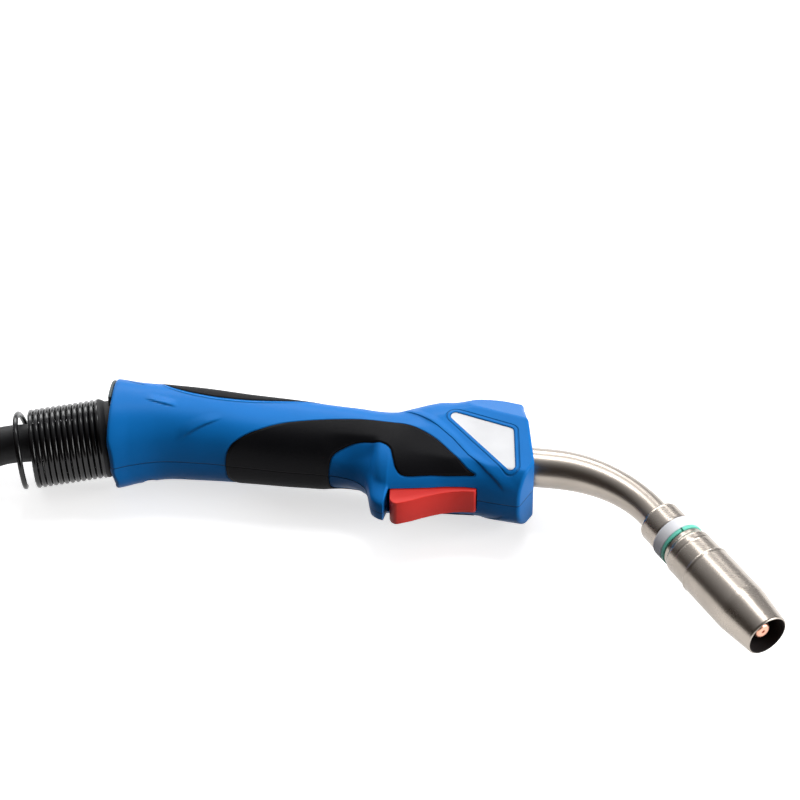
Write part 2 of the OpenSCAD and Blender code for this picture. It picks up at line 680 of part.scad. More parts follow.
function neck_path() = concat(
    [for (x = [tube_back, -40, 0, neck_lead]) [x, 0, 0]],
    [for (i = [1:10]) let (a = neck_angle * i / 10)
        [neck_lead + neck_bend_r * sin(a), -neck_bend_r * (1 - cos(a)), 0]],
    [[mouth_dir[0], mouth_dir[1], 0] * (ferrule_len - 1) + [bend_end[0], bend_end[1], 0]]);
mouth_dir = [cos(neck_angle), -sin(neck_angle)];
function neck_r(i) = i < 4 ? neck_d / 2 : i > 10 ? neck_end_d / 2
    : neck_d / 2 + (neck_end_d - neck_d) / 2 * (0.5 - 0.5 * cos(180 * (i - 3) / 8));

module neck_tube() {
    path = neck_path();
    color("#b9b3a9") swept_tube(path, [for (i = [0:len(path) - 1]) neck_r(i)], neck_bore / 2, 24);
}

// ---- nozzle end, built along the neck's front axis ----------------------------------------------
s_ins = ferrule_len;
s_seal = s_ins + insulator_len;
s_hold = s_seal + seal_len;
s_nozzle = s_hold + holder_len;
holder_bore = 15;
stem_d = 12.4;          // stem that carries the insulator, the seal and the holder
seat_d = 17;            // collar of the holder that the gas nozzle pushes onto
seat_len = nozzle_len / 2 - 12;

module neck_ferrule() {
    color("#b5ada2") on_neck() rotate_extrude($fn = 64) polygon([
        [neck_end_d / 2 + seat, 0.4], [ferrule_d / 2 - 0.5, 0.4], [ferrule_d / 2, 0.9],
        [ferrule_d / 2, ferrule_len - 0.05], [stem_d / 2 + seat, ferrule_len - 0.05],
        [stem_d / 2 + seat, ferrule_len - 0.9], [neck_end_d / 2 + seat, ferrule_len - 0.9]]);
}

module insulating_ring() {
    color("#eceaf2") on_neck(s_ins) rotate_extrude($fn = 64) polygon([
        [stem_d / 2 + seat, 0.05], [insulator_d / 2 - 0.5, 0.05], [insulator_d / 2, 0.5],
        [insulator_d / 2, insulator_len - 0.4], [insulator_d / 2 - 0.4, insulator_len],
        [stem_d / 2 + seat, insulator_len]]);
}

module seal_ring() {
    color("#66d3bd") on_neck(s_seal) difference() {
        translate([0, 0, 0.05]) cylinder(d = insulator_d, h = seal_len - 0.1);
        translate([0, 0, -1]) cylinder(d = 17, h = seal_len + 2);
        rotate([0, 0, 168]) translate([0, -0.5, -1]) cube([far, 1, seal_len + 2]);
    }
}

module nozzle_holder() {
    color("#b5ada2") on_neck(s_hold) rotate_extrude($fn = 64) polygon([
        [stem_d / 2 + seat, 0.05], [holder_d / 2 - 0.6, 0.05], [holder_d / 2 - 0.6, 2.2],
        [holder_d / 2, 2.8], [holder_d / 2, holder_len - 0.3], [seat_d / 2, holder_len - 0.3],
        [seat_d / 2, holder_len + seat_len], [seat_d / 2 - 1, holder_len + seat_len],
        [holder_bore / 2, holder_len + seat_len], [holder_bore / 2, 4], [stem_d / 2 + seat, 4]]);
}

// Stem screwed into the neck: carries the insulator stack, spreads the gas through side holes.
diffuser_len = nozzle_len / 2;
gas_hole_d = 1.8;
gas_hole_at = seat_len + gas_hole_d / 2 - 0.1;
module gas_diffuser() {
    color("#c7a253") on_neck(0) difference() {
        rotate_extrude($fn = 64) polygon([
            [4, ferrule_len - 0.8], [stem_d / 2, ferrule_len - 0.8], [stem_d / 2, s_nozzle + 1],
            [stem_d / 2 - 1.4, s_nozzle + 1], [stem_d / 2 - 1.4, s_nozzle + diffuser_len - 8],
            [4, s_nozzle + diffuser_len - 8]]);
        for (a = [0:60:300]) rotate([0, 0, a]) translate([0, 0, s_nozzle + gas_hole_at]) rotate([0, 90, 0])
            cylinder(d = gas_hole_d, h = far);
    }
}

nozzle_spring_wire = 1;
nozzle_spring_turns = 2;
nozzle_spring_r = (seat_d / 2 + seat + nozzle_spring_wire / 2) / cos(15);
module nozzle_spring() {
    n = nozzle_spring_turns * 12;
    path = [for (i = [0:n])
        [nozzle_spring_r * cos(30 * i), nozzle_spring_r * sin(30 * i), 5 + 1.6 * i / 12]];
    color("silver") on_neck(s_nozzle) swept(path, nozzle_spring_wire / 2, 6);
}

tip_len = nozzle_len / 2 + 2;
tip_front = s_nozzle + nozzle_len - tip_setback;
tip_thread = 7;
tip_back = tip_front - tip_len;
tip_holder_front = tip_back + tip_thread - 0.2;
tip_holder_back = s_nozzle + diffuser_len - 7.6;
module tip_holder() {
    color("#c7a253") on_neck(0) rotate_extrude($fn = 48) polygon([
        [2.6, tip_holder_back], [stem_d / 2 - 0.6, tip_holder_back],
        [stem_d / 2 - 0.6, tip_holder_front - 0.8], [stem_d / 2 - 1.4, tip_holder_front],
        [3 + seat, tip_holder_front], [3 + seat, tip_back - 0.5], [2.6, tip_back - 0.5]]);
}

module contact_tip() {
    color("#d98b6a") on_neck(tip_back) difference() {
        rotate_extrude($fn = 48) polygon([
            [0, 0], [2.6, 0], [3, 0.5], [3, tip_thread], [tip_d / 2, tip_thread],
            [tip_d / 2, tip_len - 1.4], [tip_d / 2 - 1, tip_len], [0, tip_len]]);
        translate([0, 0, -1]) cylinder(d = wire_hole, h = tip_len + 2, $fn = 24);
    }
}

nozzle_bore = 2 * nozzle_spring_r + nozzle_spring_wire + 2 * run_gap;
module gas_nozzle() {
    color("#b0a89c") on_neck(s_nozzle) rotate_extrude($fn = 72) polygon([
        [nozzle_bore / 2, 0.05], [nozzle_d / 2 - 1, 0.05], [nozzle_d / 2, 1.3],
        [nozzle_d / 2, nozzle_len - nozzle_taper], [mouth_d / 2, nozzle_len - 0.4],
        [mouth_d / 2 - 0.4, nozzle_len], [mouth_bore / 2, nozzle_len],
        [mouth_bore / 2, nozzle_len - 6], [nozzle_bore / 2, nozzle_len - nozzle_taper]]);
}

liner_d = 4.6;
module wire_liner() {
    straight = [for (x = [crimp_back + 1, -60, 0, neck_lead]) [x, 0, 0]];
    bend = [for (i = [1:8]) let (a = neck_angle * i / 8)
        [neck_lead + neck_bend_r * sin(a), -neck_bend_r * (1 - cos(a)), 0]];
    last = [bend_end[0], bend_end[1], 0] + (tip_back - 1) * [mouth_dir[0], mouth_dir[1], 0];
    color("#8f8f93") swept(concat(straight, bend, [last]), liner_d / 2, 8);
}

// ---- the lead ----------------------------------------------------------------------------------
// The lead lies on the table. Its way inside and behind the handle is written in handle space,
// the rest of its routes in table space.
lead_r = lead_d / 2;
lead_sides = 10;
inner_route = [[crimp_back - 0.3, 0, 0], [-150, -0.2, 0], [-165, -1.4, 0], [-180, -3.4, 0],
    [-196, -5.7, -0.2], [-214, -8.3, -1.3], [-231.6, -10.8, -3]];
outer_route = [[-179, 18.2, 20], [-186, 16.1, 18.6], [-195.3, 12, 16.2], [-203.8, 6.6, 13.6],
    [-212.4, -0.7, 11]];
lead_route = concat([for (p = inner_route) lay(p)], outer_route);
end_route = [[-373.5, -76.9, 28], [-390, -76.9, 26.3], [-402.1, -76.9, 23], [-414.1, -75.9, 19.2],
    [-425.7, -72.7, 15.8], [-436.6, -67.7, 13], [-446.4, -60.8, 11], [-454.9, -52.3, 9.9],
    [-462.9, -40.3, 9.4], [-468.7, -25.8, 9.6]];

pile_step = lead_d + 0.6;
coil_turns = 2;
coil_at = [-332, 32.7];
coil_from = -35;
coil_rings = 24;
coil_low_r = coil_r - coil_turns * pile_step;
coil_end_turns = 1.652;
coil_all = coil_turns + 0.5 + coil_end_turns;
coil_steps = ceil(coil_all * coil_rings);
function coil_radius(t) = t < coil_turns ? coil_r - pile_step * t
    : t < coil_turns + 0.5 ? let (s = t - coil_turns) coil_low_r - pile_step * (s - 2 * s * s)
    : coil_low_r + pile_step * (t - coil_turns - 0.5);
function coil_height(t) = lead_r + pile_step * min(max((t - coil_turns) / 0.5, 0), 1);
function coil_angle(t) = coil_from - 360 * t;
function coil_point(t) = [coil_at[0] + coil_radius(t) * cos(coil_angle(t)),
    coil_at[1] + coil_radius(t) * sin(coil_angle(t)), coil_height(t)];
function coil_heading(t) = [sin(coil_angle(t)), -cos(coil_angle(t)), 0];
coil_start = coil_point(0) - lead_d * coil_heading(0);
coil_stop = coil_point(coil_all) + lead_d * coil_heading(coil_all);
function coil_path() = concat([coil_start],
    [for (i = [0:coil_steps]) coil_point(i * coil_all / coil_steps)], [coil_stop]);
function start_path() = concat(lead_route, [coil_start - 0.6 * lead_d * coil_heading(0), coil_start]);
function end_path() = concat([coil_stop], end_route,
    [for (s = [-0.6 * lead_d, 0, cable_stop]) connector_at + s * connector_heading]);
function path_len(p) = sum([for (i = [1:len(p) - 1]) norm(p[i] - p[i - 1])]);
function sum(v, i = 0) = i == len(v) ? 0 : v[i] + sum(v, i + 1);
echo(lead_coil_gap = self_gap(coil_path(), lead_d, coil_rings - 4));
echo(middle = middle, front_reach = front_reach, mouth = mouth);
echo(lead_length = path_len(start_path()) + path_len(coil_path()) + path_len(end_path()));

module lead_start() { color("#141416") swept(start_path(), lead_r, lead_sides); }
module lead_coil() { color("#141416") swept(coil_path(), lead_r, 6); }
module lead_end() { color("#141416") swept(end_path(), lead_r, lead_sides); }

// ---- the connector on the lead's far end, lying on its nut and its boot --------------------------
// Lengths are counted forward from the boot's rear end.
boot_d = 24;
boot_len = 44;
boot_insert = 12;
boot_insert_d = 26;
cable_stop = 60;
housing_back = boot_len - 3;
neck_back = 97;
neck_front = 104;
flange_len = 6;
flange_front = neck_front + flange_len;
nut_back = neck_back + run_gap;
nut_lip = neck_front - run_gap - nut_back;
nut_bore = 40.4;
flange_d = nut_bore - 2 * run_gap;
connector_tilt = atan((nut_d - boot_d) / 2 / nut_back);
connector_at = [-471, 0.7, boot_d / 2 * cos(connector_tilt)];
connector_heading = [0, cos(connector_tilt), sin(connector_tilt)];
plug_seat_d = plug_d + 1;
nipple_seat_d = nipple_d - 1.2;
control_d = 4;
control_r = 13;
control_turn = 36;
control_back = neck_front - 3.5;
control_front = flange_front + 12;

module on_connector(s = 0) {
    translate(connector_at) rotate([connector_tilt - 90, 0, 0]) translate([0, 0, s]) children();
}

module connector_boot() {
    rib = 4.4;
    ribs = 7;
    color("#1b1b1d") on_connector() difference() {
        union() {
            cylinder(d1 = boot_d - 2.4, d2 = housing_d - 7, h = housing_back);
            for (i = [0:ribs - 1]) let (d = boot_d + (housing_d - 5 - boot_d) * i / ribs)
                translate([0, 0, i * (boot_len - 6) / ribs]) cylinder(d = d, h = rib - 1.4);
            translate([0, 0, boot_len - 3.4]) cylinder(d = boot_insert_d, h = boot_insert + 3);
        }
        translate([0, 0, -1]) cylinder(d = lead_d + 0.6, h = far);
    }
}

module connector_housing() {
    back = housing_back + 0.2;
    color("#1d1d20") on_connector() difference() {
        rotate_extrude($fn = 64) polygon([
            [boot_insert_d / 2 + seat, back], [housing_d / 2 - 2.2, back], [housing_d / 2 - 1.2, back + 1],
            [housing_d / 2 - 1, back + 8], [housing_d / 2 - 2.4, back + 14], [housing_d / 2 - 2.4, back + 34],
            [housing_d / 2, back + 42], [housing_d / 2, neck_back - 6], [nut_bore / 2 + 1, neck_back - 4.5],
            [nut_bore / 2 + 1, neck_back], [housing_d / 2, neck_back], [housing_d / 2, neck_front],
            [plug_seat_d / 2 + seat, neck_front], [plug_seat_d / 2 + seat, cable_stop + 0.5],
            [lead_d / 2 + 0.4, cable_stop + 0.5], [lead_d / 2 + 0.4, boot_len + boot_insert],
            [boot_insert_d / 2 + seat, boot_len + boot_insert]]);
        for (a = control_angles) rotate([0, 0, a])
            translate([control_r, 0, control_back - control_travel - 0.6])
                cylinder(d = control_d + 2 * run_gap, h = far);
    }
}
control_angles = [-90 - control_turn, -90 + control_turn];

module connector_flange() {
    color("#2a2a2d") on_connector(neck_front) difference() {
        cylinder(d = flange_d, h = flange_len);
        translate([0, 0, -1]) cylinder(d = plug_seat_d + 2 * seat, h = far);
        for (a = control_angles) rotate([0, 0, a]) translate([control_r, 0, -1])
            cylinder(d = control_d + 2 * run_gap, h = far);
    }
}

grips = 12;
module connector_nut() {
    color("#19191b") on_connector() difference() {
        rotate_extrude($fn = 72) polygon([
            [housing_d / 2 + run_gap, nut_back], [nut_d / 2, nut_back], [nut_d / 2, nut_back + nut_len - 2.5],
            [nut_d / 2 - 2, nut_back + nut_len], [nut_bore / 2, nut_back + nut_len],
            [nut_bore / 2, nut_back + nut_lip], [housing_d / 2 + run_gap, nut_back + nut_lip]]);
        for (i = [0:grips - 1]) rotate([0, 0, 360 * (i + 0.5) / grips])
            translate([nut_d / 2 + 1.6, 0, nut_back + 3]) cylinder(d = 6, h = far);
    }
}

module brass_plug() {
    front = flange_front + plug_len;
    color("#c9a24e") on_connector() difference() {
        rotate_extrude($fn = 48) polygon([
            [0, cable_stop + 0.6], [plug_seat_d / 2, cable_stop + 0.6], [plug_seat_d / 2, flange_front],
            [plug_d / 2, flange_front], [plug_d / 2, front - 1.2],
            [plug_d / 2 - 1.2, front], [0, front]]);
        translate([0, 0, front - 8]) cylinder(d = nipple_seat_d + 2 * seat, h = far);
        translate([0, 0, cable_stop]) cylinder(d = 5, h = far);
        for (a = [45, 135]) rotate([0, 0, a]) translate([-far / 2, -0.6, front - 7.4]) cube([far, 1.2, far]);
    }
}

seal_at = 4;
seal_wire = 1.2;
seal_groove = seal_wire + 0.15;
module gas_nipple() {
    shoulder = flange_front + plug_len + 0.1;
    front = flange_front + plug_len + nipple_len;
    color("#d3b36a") on_connector() rotate_extrude($fn = 48) polygon([
        [2, shoulder - 8], [nipple_seat_d / 2, shoulder - 8], [nipple_seat_d / 2, shoulder],
        [nipple_d / 2, shoulder], [nipple_d / 2, front - seal_at - 1.2],
        [nipple_d / 2 - seal_groove, front - seal_at - 1.2],
        [nipple_d / 2 - seal_groove, front - seal_at + 1.2],
        [nipple_d / 2, front - seal_at + 1.2], [nipple_d / 2, front - 1], [nipple_d / 2 - 1, front],
        [2, front]]);
}

module nipple_seal() {
    color("black") on_connector(flange_front + plug_len + nipple_len - seal_at)
        rotate_extrude($fn = 48) translate([nipple_d / 2 - seal_groove + 0.05 + seal_wire / 2, 0])
            circle(d = seal_wire, $fn = 24);
}

module control_pin(a) {
    color("#d3b36a") on_connector() rotate([0, 0, a]) translate([control_r, 0, 0]) rotate_extrude($fn = 32)
        polygon([[0, control_back], [control_d / 2, control_back], [control_d / 2, control_front - 0.8],
            [control_d / 2 - 0.8, control_front], [0, control_front]]);
}
module control_pin_a() { control_pin(control_angles[0]); }
module control_pin_b() { control_pin(control_angles[1]); }

on_table() handle_shell_label_side();
on_table() handle_shell_table_side();
on_table() grip_inlay_label_side();
on_table() grip_inlay_table_side();
on_table() spine_inlay_label_side();
on_table() spine_inlay_table_side();
on_table() label_plate();
on_table() shell_screws();
on_table() rear_collar();
on_table() cable_sleeve();
on_table() support_spring();
on_table() trigger();
on_table() trigger_pin();
on_table() trigger_spring();
on_table() switch_body();
on_table() switch_plunger();
on_table() switch_terminals();
on_table() power_block();
on_table() block_nut();
on_table() cable_crimp();
on_table() neck_tube();
on_table() neck_ferrule();
on_table() insulating_ring();
on_table() seal_ring();
on_table() nozzle_holder();
on_table() gas_diffuser();
on_table() nozzle_spring();
on_table() tip_holder();
on_table() contact_tip();
on_table() gas_nozzle();
on_table() wire_liner();
lead_start();
lead_coil();
lead_end();
connector_boot();
connector_housing();
connector_flange();
connector_nut();
brass_plug();
gas_nipple();
nipple_seal();
control_pin_a();
control_pin_b();
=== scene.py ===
# A gas-cooled welding torch with its lead and connector, dressed piece by piece over its solids.
# Lengths in the tables are in millimetres in handle space: the origin is on the neck's axis where
# it leaves the handle, -Y is the trigger side and +Z the label side. row() turns them into metres.
import math

import bpy
import numpy as np
from bpy.props import FloatProperty, FloatVectorProperty, IntProperty, PointerProperty
from bpy.types import Operator, Panel, PropertyGroup
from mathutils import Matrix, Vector


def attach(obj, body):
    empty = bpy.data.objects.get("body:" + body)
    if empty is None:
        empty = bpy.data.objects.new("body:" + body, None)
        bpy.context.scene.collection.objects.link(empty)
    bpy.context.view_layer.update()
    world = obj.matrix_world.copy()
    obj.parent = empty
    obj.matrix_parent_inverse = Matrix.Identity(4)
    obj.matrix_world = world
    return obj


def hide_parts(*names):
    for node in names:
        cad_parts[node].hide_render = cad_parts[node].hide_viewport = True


bl_info = {
    "name": "Welding torch",
    "version": (1, 0, 0),
    "blender": (4, 5, 0),
    "location": "View3D > Sidebar > Torch",
    "description": "Builds the visible pieces of a welding torch over its solids",
    "category": "Add Mesh",
}

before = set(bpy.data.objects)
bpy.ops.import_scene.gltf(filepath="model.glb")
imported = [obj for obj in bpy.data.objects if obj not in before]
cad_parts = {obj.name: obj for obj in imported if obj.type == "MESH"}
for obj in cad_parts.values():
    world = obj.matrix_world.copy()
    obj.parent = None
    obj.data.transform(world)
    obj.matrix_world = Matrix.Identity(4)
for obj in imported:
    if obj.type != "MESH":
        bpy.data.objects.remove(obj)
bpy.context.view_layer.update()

MM = 0.001
# where the row frame's origin stands in handle space, and how high the handle's axis lies
MIDDLE = (-61.7597, -30.4955)
LIE_H = 24.0


def row(x, y, z=0.0):
    """A point of handle space, as metres in the row frame."""
    return Vector(((x - MIDDLE[0]) * MM, (y - MIDDLE[1]) * MM, (z + LIE_H) * MM))


def table(points):
    """Points of table space in millimetres, as metres in the row frame."""
    return [Vector(p) * MM for p in points]


def paint(red, green, blue):
    """A colour written as 0 to 255, as the linear colour that a shader takes."""
    share = [c / 255 for c in (red, green, blue)]
    return tuple(c / 12.92 if c <= 0.04045 else ((c + 0.055) / 1.055) ** 2.4 for c in share)


# ---- sizes and colours that a user would change --------------------------------------------------
def colour(name, description, red, green, blue):
    return FloatVectorProperty(
        name=name, description=description, subtype="COLOR", size=3, min=0, max=1,
        default=paint(red, green, blue),
    )


def length(name, description, default, low, high):
    return FloatProperty(
        name=name, description=description, default=default * MM, min=low * MM, max=high * MM,
        unit="LENGTH", subtype="DISTANCE", precision=5,
    )


class TorchColours(PropertyGroup):
    shell: colour("Shell", "Moulded handle shells", 18, 122, 206)
    grip: colour("Grip", "Soft grip and spine inserts", 16, 16, 19)
    trigger: colour("Trigger", "Moulded trigger", 255, 60, 52)
    label: colour("Label", "Bare label plate", 236, 237, 239)
    nickel: colour("Nickel", "Plated neck and nozzle", 174, 165, 155)
    tip: colour("Tip", "Copper contact tip", 238, 178, 152)
    brass: colour("Brass", "Turned brass", 196, 158, 84)
    insulator: colour("Insulator", "Insulating ring", 245, 246, 250)
    seal: colour("Seal", "Split sealing ring", 120, 226, 202)
    rubber: colour("Rubber", "Sleeve, lead and connector", 22, 22, 24)
    spring: colour("Spring", "Blackened support spring", 9, 9, 11)
    floor: colour("Floor", "Plain floor", 236, 236, 236)


class TorchSizes(PropertyGroup):
    skin_step: length("Skin step", "Distance between the rings of the handle's skin", 0.8, 0.5, 3)
    rim_round: length("Rim rounding", "Rounding of the handle's front and rear rims", 1.3, 0.5, 3)
    inlay_gap: length("Inlay gap", "Gap round the soft inserts", 0.14, 0.05, 0.5)
    inlay_depth: length("Inlay depth", "Thickness of the soft inserts", 1.6, 0.8, 2.5)
    texture_grain: length("Texture grain", "Grain of the moulded texture", 0.35, 0.1, 2)
    turned_steps: IntProperty(
        name="Turned steps", description="Steps round a turned piece", default=72, min=24, max=128
    )


class TorchView(PropertyGroup):
    azimuth: FloatProperty(
        name="Azimuth", description="Camera's turn round the torch", default=math.radians(7.2),
        unit="ROTATION", subtype="ANGLE",
    )
    elevation: FloatProperty(
        name="Elevation", description="Camera's height over the floor", default=math.radians(45.5),
        unit="ROTATION", subtype="ANGLE",
    )
    distance: length("Distance", "Camera's distance from its target", 1850, 500, 5000)
    lens: FloatProperty(name="Lens", description="Focal length in millimetres", default=180, min=20)


def sizes():
    return bpy.context.scene.torch_sizes


def chosen(part):
    """The colour that is set for a part."""
    return tuple(getattr(bpy.context.scene.torch_colours, part))


# ---- shader maths --------------------------------------------------------------------------------
class Wire:
    """One output socket; arithmetic on it adds Math nodes."""

    def __init__(self, finish, socket):
        self.finish = finish
        self.socket = socket

    def math(self, operation, other=None, swap=False):
        ends = [self] if other is None else [other, self] if swap else [self, other]
        return self.finish.add("ShaderNodeMath", {"operation": operation}, dict(enumerate(ends)))

    def __add__(self, other):
        return self.math("ADD", other)

    def __sub__(self, other):
        return self.math("SUBTRACT", other)

    def __rsub__(self, other):
        return self.math("SUBTRACT", other, swap=True)

    def __mul__(self, other):
        return self.math("MULTIPLY", other)

    __radd__ = __add__
    __rmul__ = __mul__

    def size(self):
        return self.math("ABSOLUTE")

    def most(self, other):
        return self.math("MAXIMUM", other)

    def ramp(self, low, high, to_low=0.0, to_high=1.0):
        """Eases from to_low to to_high while this value runs from low to high."""
        sockets = {0: self, 1: low, 2: high, 3: to_low, 4: to_high}
        return self.finish.add("ShaderNodeMapRange", {"interpolation_type": "SMOOTHSTEP"}, sockets)


class Finish:
    """A material under a plain name, with its Principled shader."""

    def __init__(self, name, base, roughness, **constants):
        self.material = bpy.data.materials.new(name)
        self.material.use_nodes = True
        self.tree = self.material.node_tree
        self.shader = self.tree.nodes["Principled BSDF"]
        self.material.diffuse_color = (*base, 1)
        self.set("Base Color", (*base, 1))
        self.set("Roughness", roughness)
        for socket, value in constants.items():
            self.set(socket.replace("_", " ").title().replace("Ior", "IOR"), value)

    def add(self, kind, settings, sockets, out=0):
        """Adds a node: its settings first, then the values or links of its sockets."""
        node = self.tree.nodes.new(kind)
        for key, value in settings.items():
            setattr(node, key, value)
        for key, value in sockets.items():
            self.feed(node.inputs[key], value)
        return Wire(self, node.outputs[out])

    def feed(self, socket, value):
        if isinstance(value, Wire):
            self.tree.links.new(value.socket, socket)
        else:
            socket.default_value = value

    def set(self, socket, value):
        self.feed(self.shader.inputs[socket], value)

    def place(self):
        return self.add("ShaderNodeTexCoord", {}, {}, out="Object")

    def mapped(self, stretch, turn):
        sockets = {"Vector": self.place(), "Rotation": turn, "Scale": stretch}
        return self.add("ShaderNodeMapping", {}, sockets)

    def noise(self, scale, detail, rough=0.5, place=None):
        sockets = {"Vector": place or self.place(), "Scale": scale, "Detail": detail,
                   "Roughness": rough}
        return self.add("ShaderNodeTexNoise", {}, sockets, out="Fac")

    def kept(self, name):
        """A value stored at each vertex."""
        return self.add("ShaderNodeAttribute", {"attribute_name": name}, {}, out="Fac")

    def mix(self, share, first, second):
        first, second = [(*c, 1) if isinstance(c, tuple) else c for c in (first, second)]
        sockets = {"Factor": share, 6: first, 7: second}
        return self.add("ShaderNodeMix", {"data_type": "RGBA"}, sockets, out=2)

    def bump(self, height, depth):
        """Height from 0 to 1 over a depth in metres."""
        self.set("Normal", self.add("ShaderNodeBump", {}, {"Height": height, "Distance": depth}))

    def split(self):
        """The three Object coordinates, as wires."""
        first = self.add("ShaderNodeSeparateXYZ", {}, {0: self.place()})
        return [Wire(self, socket) for socket in first.socket.node.outputs]


class Sky(Finish):
    """The world's light, whose places are directions."""

    def __init__(self, name):
        self.world = bpy.data.worlds.new(name)
        self.world.use_nodes = True
        self.tree = self.world.node_tree
        self.shader = self.tree.nodes["Background"]

    def place(self):
        return self.add("ShaderNodeTexCoord", {}, {}, out="Generated")


FINISHES = {}


def finish(name):
    """The material of that name, made on first use."""
    if name not in FINISHES:
        FINISHES[name] = FINISH_MAKERS[name]()
    return FINISHES[name]


def shade_by(base, amount):
    return tuple(min(1.0, c * amount) for c in base)


def moulded(name, base, roughness, grain, depth):
    """Moulded plastic: spark-eroded texture, faint shade changes and rubbed smoother spots."""
    made = Finish(name, base, roughness, specular_ior_level=0.25)
    cloud = made.noise(38, 3)
    tone = made.mix(cloud.ramp(0.3, 0.7), shade_by(base, 0.93), shade_by(base, 1.05))
    made.set("Base Color", tone)
    texture = made.noise(1 / grain, 2, 0.6)
    rub = made.noise(16, 2).ramp(0.55, 0.75)
    made.set("Roughness", roughness + (texture - 0.5) * 0.16 - rub * 0.05)
    made.bump(texture, depth)
    return made


def seam_at_parting(made):
    """1 on the parting line of the two shells, falling to 0 beside it."""
    upward = made.split()[2]
    return (upward - LIE_H * MM).size().ramp(0.00012, 0.0004, 1.0, 0.0)


def shell_finish():
    """Satin blue plastic with its bead, creases and folds; the bead carries a painted highlight,
    and painted shade lies in the grooves, along the crease and fold lines and at the insert edges.
    The kept distances are in metres.
    """
    base = chosen("shell")
    made = Finish("shell_blue", base, 0.42, specular_ior_level=0.09)
    cloud = made.noise(30, 3)
    edge = made.kept("insert_edge")
    beside = made.kept("spine_edge")
    bead = beside.ramp(0.0, 0.0005) * beside.ramp(0.0011, 0.0019, 1.0, 0.0)
    groove = beside.ramp(0.0015, 0.0019) * beside.ramp(0.0019, 0.0024, 1.0, 0.0)
    lip = edge.ramp(0.0, 0.0006)
    brink = edge.ramp(0.0001, 0.0006, 1.0, 0.0)
    frame_line = made.kept("label_edge")
    frame_line = frame_line.ramp(0.0013, 0.0017) * frame_line.ramp(0.0019, 0.0024, 1.0, 0.0)
    away = made.kept("crease_away")
    strength = made.kept("crease_strength")
    step = away.ramp(-0.0003, 0.0004) * away.ramp(0.0004, 0.004, 1.0, 0.0) * strength
    line = away.ramp(-0.0007, -0.0001) * away.ramp(-0.0001, 0.0003, 1.0, 0.0) * strength
    fold = made.kept("fold")
    pinch = made.kept("fold_line")
    seam = seam_at_parting(made)
    texture = made.noise(1 / sizes().texture_grain, 2, 0.6)
    tone = made.mix(cloud.ramp(0.3, 0.7), shade_by(base, 0.94), shade_by(base, 1.05))
    # painted highlight: the bead is coloured a lighter blue
    tone = made.mix(bead * 0.35, tone, shade_by(base, 1.5))
    # painted shade: the spine bead's groove, the label frame's line, the crease's and folds' lines
    # and the insert edges' brink are darkened, together with the seam on the parting line
    dark = (seam * 0.6).most(line * 0.45).most(frame_line * 0.5).most(pinch * 0.6)
    dark = dark.most(groove * 0.4).most(brink * 0.35)
    made.set("Base Color", made.mix(dark, tone, shade_by(base, 0.3)))
    made.set("Roughness", 0.4 + (texture - 0.5) * 0.14 - bead * 0.06)
    relief = texture * 0.03 + bead * 0.5 + lip * 0.3 + step * 0.45 + fold * 0.8
    made.bump(relief - (seam * 0.5).most(frame_line * 0.35).most(pinch * 0.3), MM)
    return made


def grip_finish():
    """Soft black overmould with its own fine texture and the parting line."""
    base = chosen("grip")
    made = Finish("grip_soft", base, 0.6, specular_ior_level=0.08)
    roll = made.kept("insert_edge").ramp(-0.0009, 0.0, 1.0, 0.0)
    seam = seam_at_parting(made)
    texture = made.noise(1 / sizes().texture_grain, 2, 0.6)
    cloud = made.noise(26, 3)
    tone = made.mix(cloud.ramp(0.3, 0.7), shade_by(base, 0.85), shade_by(base, 1.2))
    made.set("Base Color", made.mix(seam * 0.5, tone, shade_by(base, 0.4)))
    made.set("Roughness", 0.52 + (texture - 0.5) * 0.2 + cloud * 0.08)
    made.bump(texture * 0.05 + roll * 0.4 - seam * 0.4, MM)
    return made


def plated(name, base, roughness, grain_stretch, turn=(0, 0, 0), marks=0.5):
    """Plated metal: fine turned or drawn grain, faint stains and a changing polish."""
    made = Finish(name, base, roughness, metallic=1.0)
    grain = made.noise(900, 3, 0.6, made.mapped(grain_stretch, turn))
    stain = made.noise(45, 4, 0.6)
    tone = made.mix(stain.ramp(0.35, 0.75), base, shade_by(base, 1 - 0.28 * marks))
    made.set("Base Color", tone)
    made.set("Roughness", roughness + (grain - 0.5) * 0.06 + stain.ramp(0.4, 0.8) * 0.08 * marks)
    made.bump(grain, 0.0000015)
    return made


def spring_finish():
    """Black coating over spring wire, with faint lighter specks of wear."""
    base = chosen("spring")
    made = Finish("spring_black", base, 0.18, specular_ior_level=0.42)
    speck = made.noise(260, 3)
    made.set("Base Color", made.mix(speck.ramp(0.5, 0.75), base, shade_by(base, 1.5)))
    made.set("Roughness", 0.17 + speck * 0.08)
    made.bump(speck, 0.00001)
    return made


def rubber_finish(name, roughness):
    """Black rubber with a grey bloom and fine pores."""
    base = chosen("rubber")
    made = Finish(name, base, roughness, specular_ior_level=0.3)
    bloom = made.noise(60, 4, 0.6)
    pore = made.noise(1900, 2)
    made.set("Base Color", made.mix(bloom.ramp(0.45, 0.8), base, shade_by(base, 1.7)))
    made.set("Roughness", roughness - 0.06 + bloom * 0.14)
    made.bump(pore, 0.00004)
    return made


